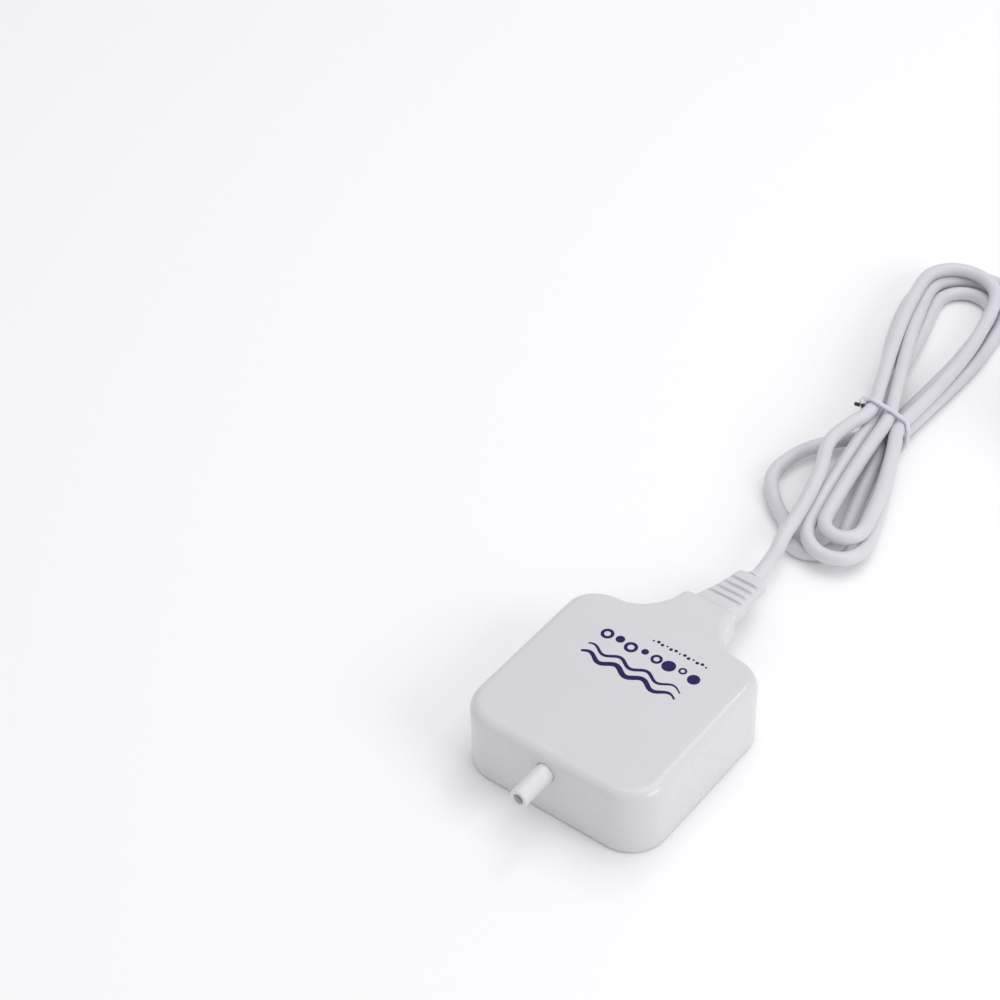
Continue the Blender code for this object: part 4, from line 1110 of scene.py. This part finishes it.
def make_tie(line):
    """A plastic-covered wire pulled tight round the strands, its ends twisted together."""
    spots = strands_at_tie(line)
    reach = CORD_R + TIE_R
    loop = []
    for i in range(72):
        a = 2 * pi * i / 72
        across, height = max(spots, key=lambda s: s[0] * cos(a) + s[1] * sin(a))
        slant = TIE_SLANT * sin(a - 0.6)
        loop.append(hank_point(slant, (across + reach * cos(a)) / MM,
                               max(height + reach * sin(a), TIE_R) / MM))
    pieces = [curve_piece("wire_tie", loop, TIE_R, "tie_plastic", True, 5, True)]
    left = min(loop, key=lambda p: (p - HANK_TIE).dot(HANK_SIDE) - 0.35 * p.z)
    knot = left - HANK_SIDE * 0.4 * MM
    aim = HANK_AXIS * END_AIM[0] + HANK_SIDE * END_AIM[1] + Vector((0, 0, END_AIM[2]))
    aim.normalize()
    across = aim.cross(Vector((0, 0, 1))).normalized()
    above = across.cross(aim)
    for k, length in enumerate(END_LENGTHS):
        path = []
        for i in range(25):
            t = i / 24
            a = 2 * pi * TWIST_TURNS * t + pi * k
            path.append(knot + aim * (length * t - END_START)
                        + (across * cos(a) + above * sin(a)) * TIE_R * 0.95)
        pieces.append(curve_piece("wire_tie_end_%d" % (k + 1), path, TIE_R * 0.92,
                                  "tie_plastic", True, 5))
        tip = (path[-1] - path[-2]).normalized()
        core = [path[-1] + tip * t for t in CORE_SPOTS]
        pieces.append(curve_piece("wire_tie_core_%d" % (k + 1), core, TIE_R * 0.8, "wire_end",
                                  False, 4))
    for piece in pieces:
        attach(piece, "housing")
    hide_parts("cord_tie")
    return pieces


# ---- plug
def plug_ring(inset, flare, z):
    """The plug's outline seen from its pins: narrow at the cord, with finger hollows at the sides.

    flare scales the width and inset draws the outline in.
    """
    spots = []
    for i in range(97):
        wide, long = squarish(pi * (i / 96 - 0.5), 0.42)
        share = (1 + long) / 2
        half = PLUG_WIDE / 2 * (0.74 + 0.26 * min(1.0, share / 0.55) ** 0.8) * flare
        hollow = 1.1 * MM * exp(-((share - 0.30) / 0.16) ** 2)
        spots.append((PLUG_RELIEF_LEN + PLUG_LEN * share - inset * long,
                      min((hollow + inset - half) * wide, 0.0), z))
    spots += [(x, -y, z) for x, y, z in spots[-2:0:-1]]
    return [PLUG_PLACE @ Vector(spot) for spot in spots]


def make_plug_body():
    """Moulded body: rounded back, seam below the pin face, wells for the pins and the fuse."""
    back = PLUG_BACK_SHARE
    stations = [(d, back, h) for d, h in quarter(SOFT_R, 6)]
    stations += [(0.0, back + (1 - back) * z * MM / PLUG_SEAM_Z, z * MM)
                 for z in (6, 8, 10, 12, 14)]
    stations += [(d * MM, 1.0, PLUG_SEAM_Z + h * MM)
                 for d, h in ((0.0, -0.35), (0.3, -0.15), (0.3, 0.15), (0.0, 0.35))]
    stations += [(d, 1.0, PLUG_H - h) for d, h in reversed(quarter(FACE_R, 4))]
    body = loft("plug_moulding", [plug_ring(*s) for s in stations], "plug_pvc")
    tools = [plug_box((x - hx - 0.25, y - hy - 0.25, 13.2), (x + hx + 0.25, y + hy + 0.25, 25), 0.3)
             for _, x, y, hx, hy, _ in PINS]
    tools.append(plug_box((FUSE_X - 4.7, -13.9, 10.0), (FUSE_X + 4.7, 13.9, 25), 0.6))
    cut(body, tools)
    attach(body, "housing")
    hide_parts("plug_body")
    return body


def plug_box(low, high, radius):
    """A rounded box in the plug's own frame, in millimetres."""
    tool = rounded_box(Vector(low) * MM, Vector(high) * MM, radius * MM)
    tool.data.transform(PLUG_PLACE)
    return tool


def make_plug_relief():
    """Tapered tail of the plug with ring grooves."""
    narrow, wide = TAIL_RADII
    profile = [(0.0, TAIL_LEN), (wide, TAIL_LEN)]
    for i in range(TAIL_RIBS):
        z = TAIL_LEN - 1.0 - i * 2.6
        r = narrow + (wide - narrow) * (z / TAIL_LEN) ** 1.15
        profile += [(r, z), (r, z - 1.5), (r - 0.75, z - 1.75), (r - 0.75, z - 2.35)]
    profile += [(narrow, 1.2), (narrow - 0.15, 0.5), (narrow - 0.7, 0.2), (0.0, 0.2)]
    profile = [(r * MM, z * MM) for r, z in profile]
    place = (PLUG_PLACE @ Matrix.Translation((0, 0, PLUG_CORD_Z))
             @ Matrix.Rotation(radians(90), 4, "Y"))
    tail = turned_mesh("plug_tail", profile, place, "plug_pvc", 64, 30.0)
    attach(tail, "housing")
    return tail


def blade(name, x, y, hx, hy, heights, slot):
    """A bar with rounded corners in the plug's frame, in millimetres; heights are (z, inset)."""
    rings = []
    for z, inset in heights:
        ring = []
        for cx, cy, start in ((1, 1, 0), (-1, 1, 90), (-1, -1, 180), (1, -1, 270)):
            ring += arc_points(x + cx * (hx - PIN_CORNER_R - inset),
                               y + cy * (hy - PIN_CORNER_R - inset),
                               PIN_CORNER_R, start, start + 90, 4)
        rings.append([PLUG_PLACE @ (Vector((px, py, z)) * MM) for px, py in ring])
    return loft(name, rings, slot, 30.0)


def make_pins():
    """Live and neutral pins with insulating sleeves, and the longer earth pin."""
    made = []
    face = PLUG_H / MM
    for name, x, y, hx, hy, long in PINS:
        tip = face + long
        heights = [(PIN_LOW, 0.0), (tip - 2.2, 0.0), (tip - 1.0, 0.35), (tip - 0.25, 0.95),
                   (tip, 1.3)]
        pin = blade("pin_" + name, x, y, hx, hy, heights, "pin_brass")
        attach(pin, "housing")
        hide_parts("plug_%s_pin" % name)
        made.append(pin)
        if name != "earth":
            heights = [(PIN_LOW, -0.04), (face + 9.2, -0.04), (face + 9.5, 0.02)]
            sleeve = blade("pin_sleeve_" + name, x, y, hx, hy, heights, "sleeve")
            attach(sleeve, "housing")
            made.append(sleeve)
    return made


def make_fuse_carrier():
    """Drawer for the fuse with a notch to lift it by."""
    carrier = plug_box((FUSE_X - 4.4, -13.6, 13.4), (FUSE_X + 4.4, 13.6, 18.8), 0.5)
    carrier.name = "fuse_drawer_cap"
    trough = round_bar(3.5 * MM, Vector((FUSE_X, -13.0, 13.6)) * MM, 26.0 * MM, "Y", 48)
    trough.data.transform(PLUG_PLACE)
    notch = plug_box((FUSE_X + 2.6, -3.0, 17.9), (FUSE_X + 5.5, 3.0, 21), 0.3)
    cut(carrier, [trough, notch])
    carrier.data.materials.clear()
    carrier.data.materials.append(MATS["plug_pvc"])
    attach(carrier, "fuse_drawer")
    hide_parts("plug_fuse_carrier")
    profile = [(0.0, 12.7 * MM)] + arc_points(2.65 * MM, 12.2 * MM, 0.5 * MM, 90, 0, 3)
    profile += [(3.15 * MM, 6.4 * MM), (3.0 * MM, 6.2 * MM)]
    profile += [(r, -z) for r, z in profile[::-1]]
    place = (PLUG_PLACE @ Matrix.Translation(Vector((FUSE_X, 0, 13.6)) * MM)
             @ Matrix.Rotation(radians(90), 4, "X"))
    caps = turned_mesh("fuse_link", profile, place, "fuse_ceramic", 48)
    caps.data.materials.append(MATS["screw_steel"])
    for face in caps.data.polygons:
        spot = place.inverted() @ face.center
        face.material_index = 1 if abs(spot.z) > 6.3 * MM else 0
    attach(caps, "fuse_drawer")
    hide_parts("plug_fuse")
    return [carrier, caps]


# ---- carried-over CAD nodes
def finish_inner_nodes():
    """Every CAD node gets the material of its slot."""
    for part in frame["record"]["subparts"]:
        obj = frame["nodes"][part["node"]]
        mat = MATS[part["material_slot"]]
        for slot in obj.material_slots:
            slot.material = mat
        if not obj.material_slots:
            obj.data.materials.append(mat)


# ---- assembly of the scene
MATS = make_materials()
make_camera()
make_floor()
make_lights()
finish_inner_nodes()
CORD, CORD_LINE = make_cord()
make_shell()
make_plate()
make_case_screws()
make_nozzle()
make_print()
make_relief()
TIE = make_tie(CORD_LINE)
PLUG = [make_plug_body(), make_plug_relief()] + make_pins() + make_fuse_carrier()
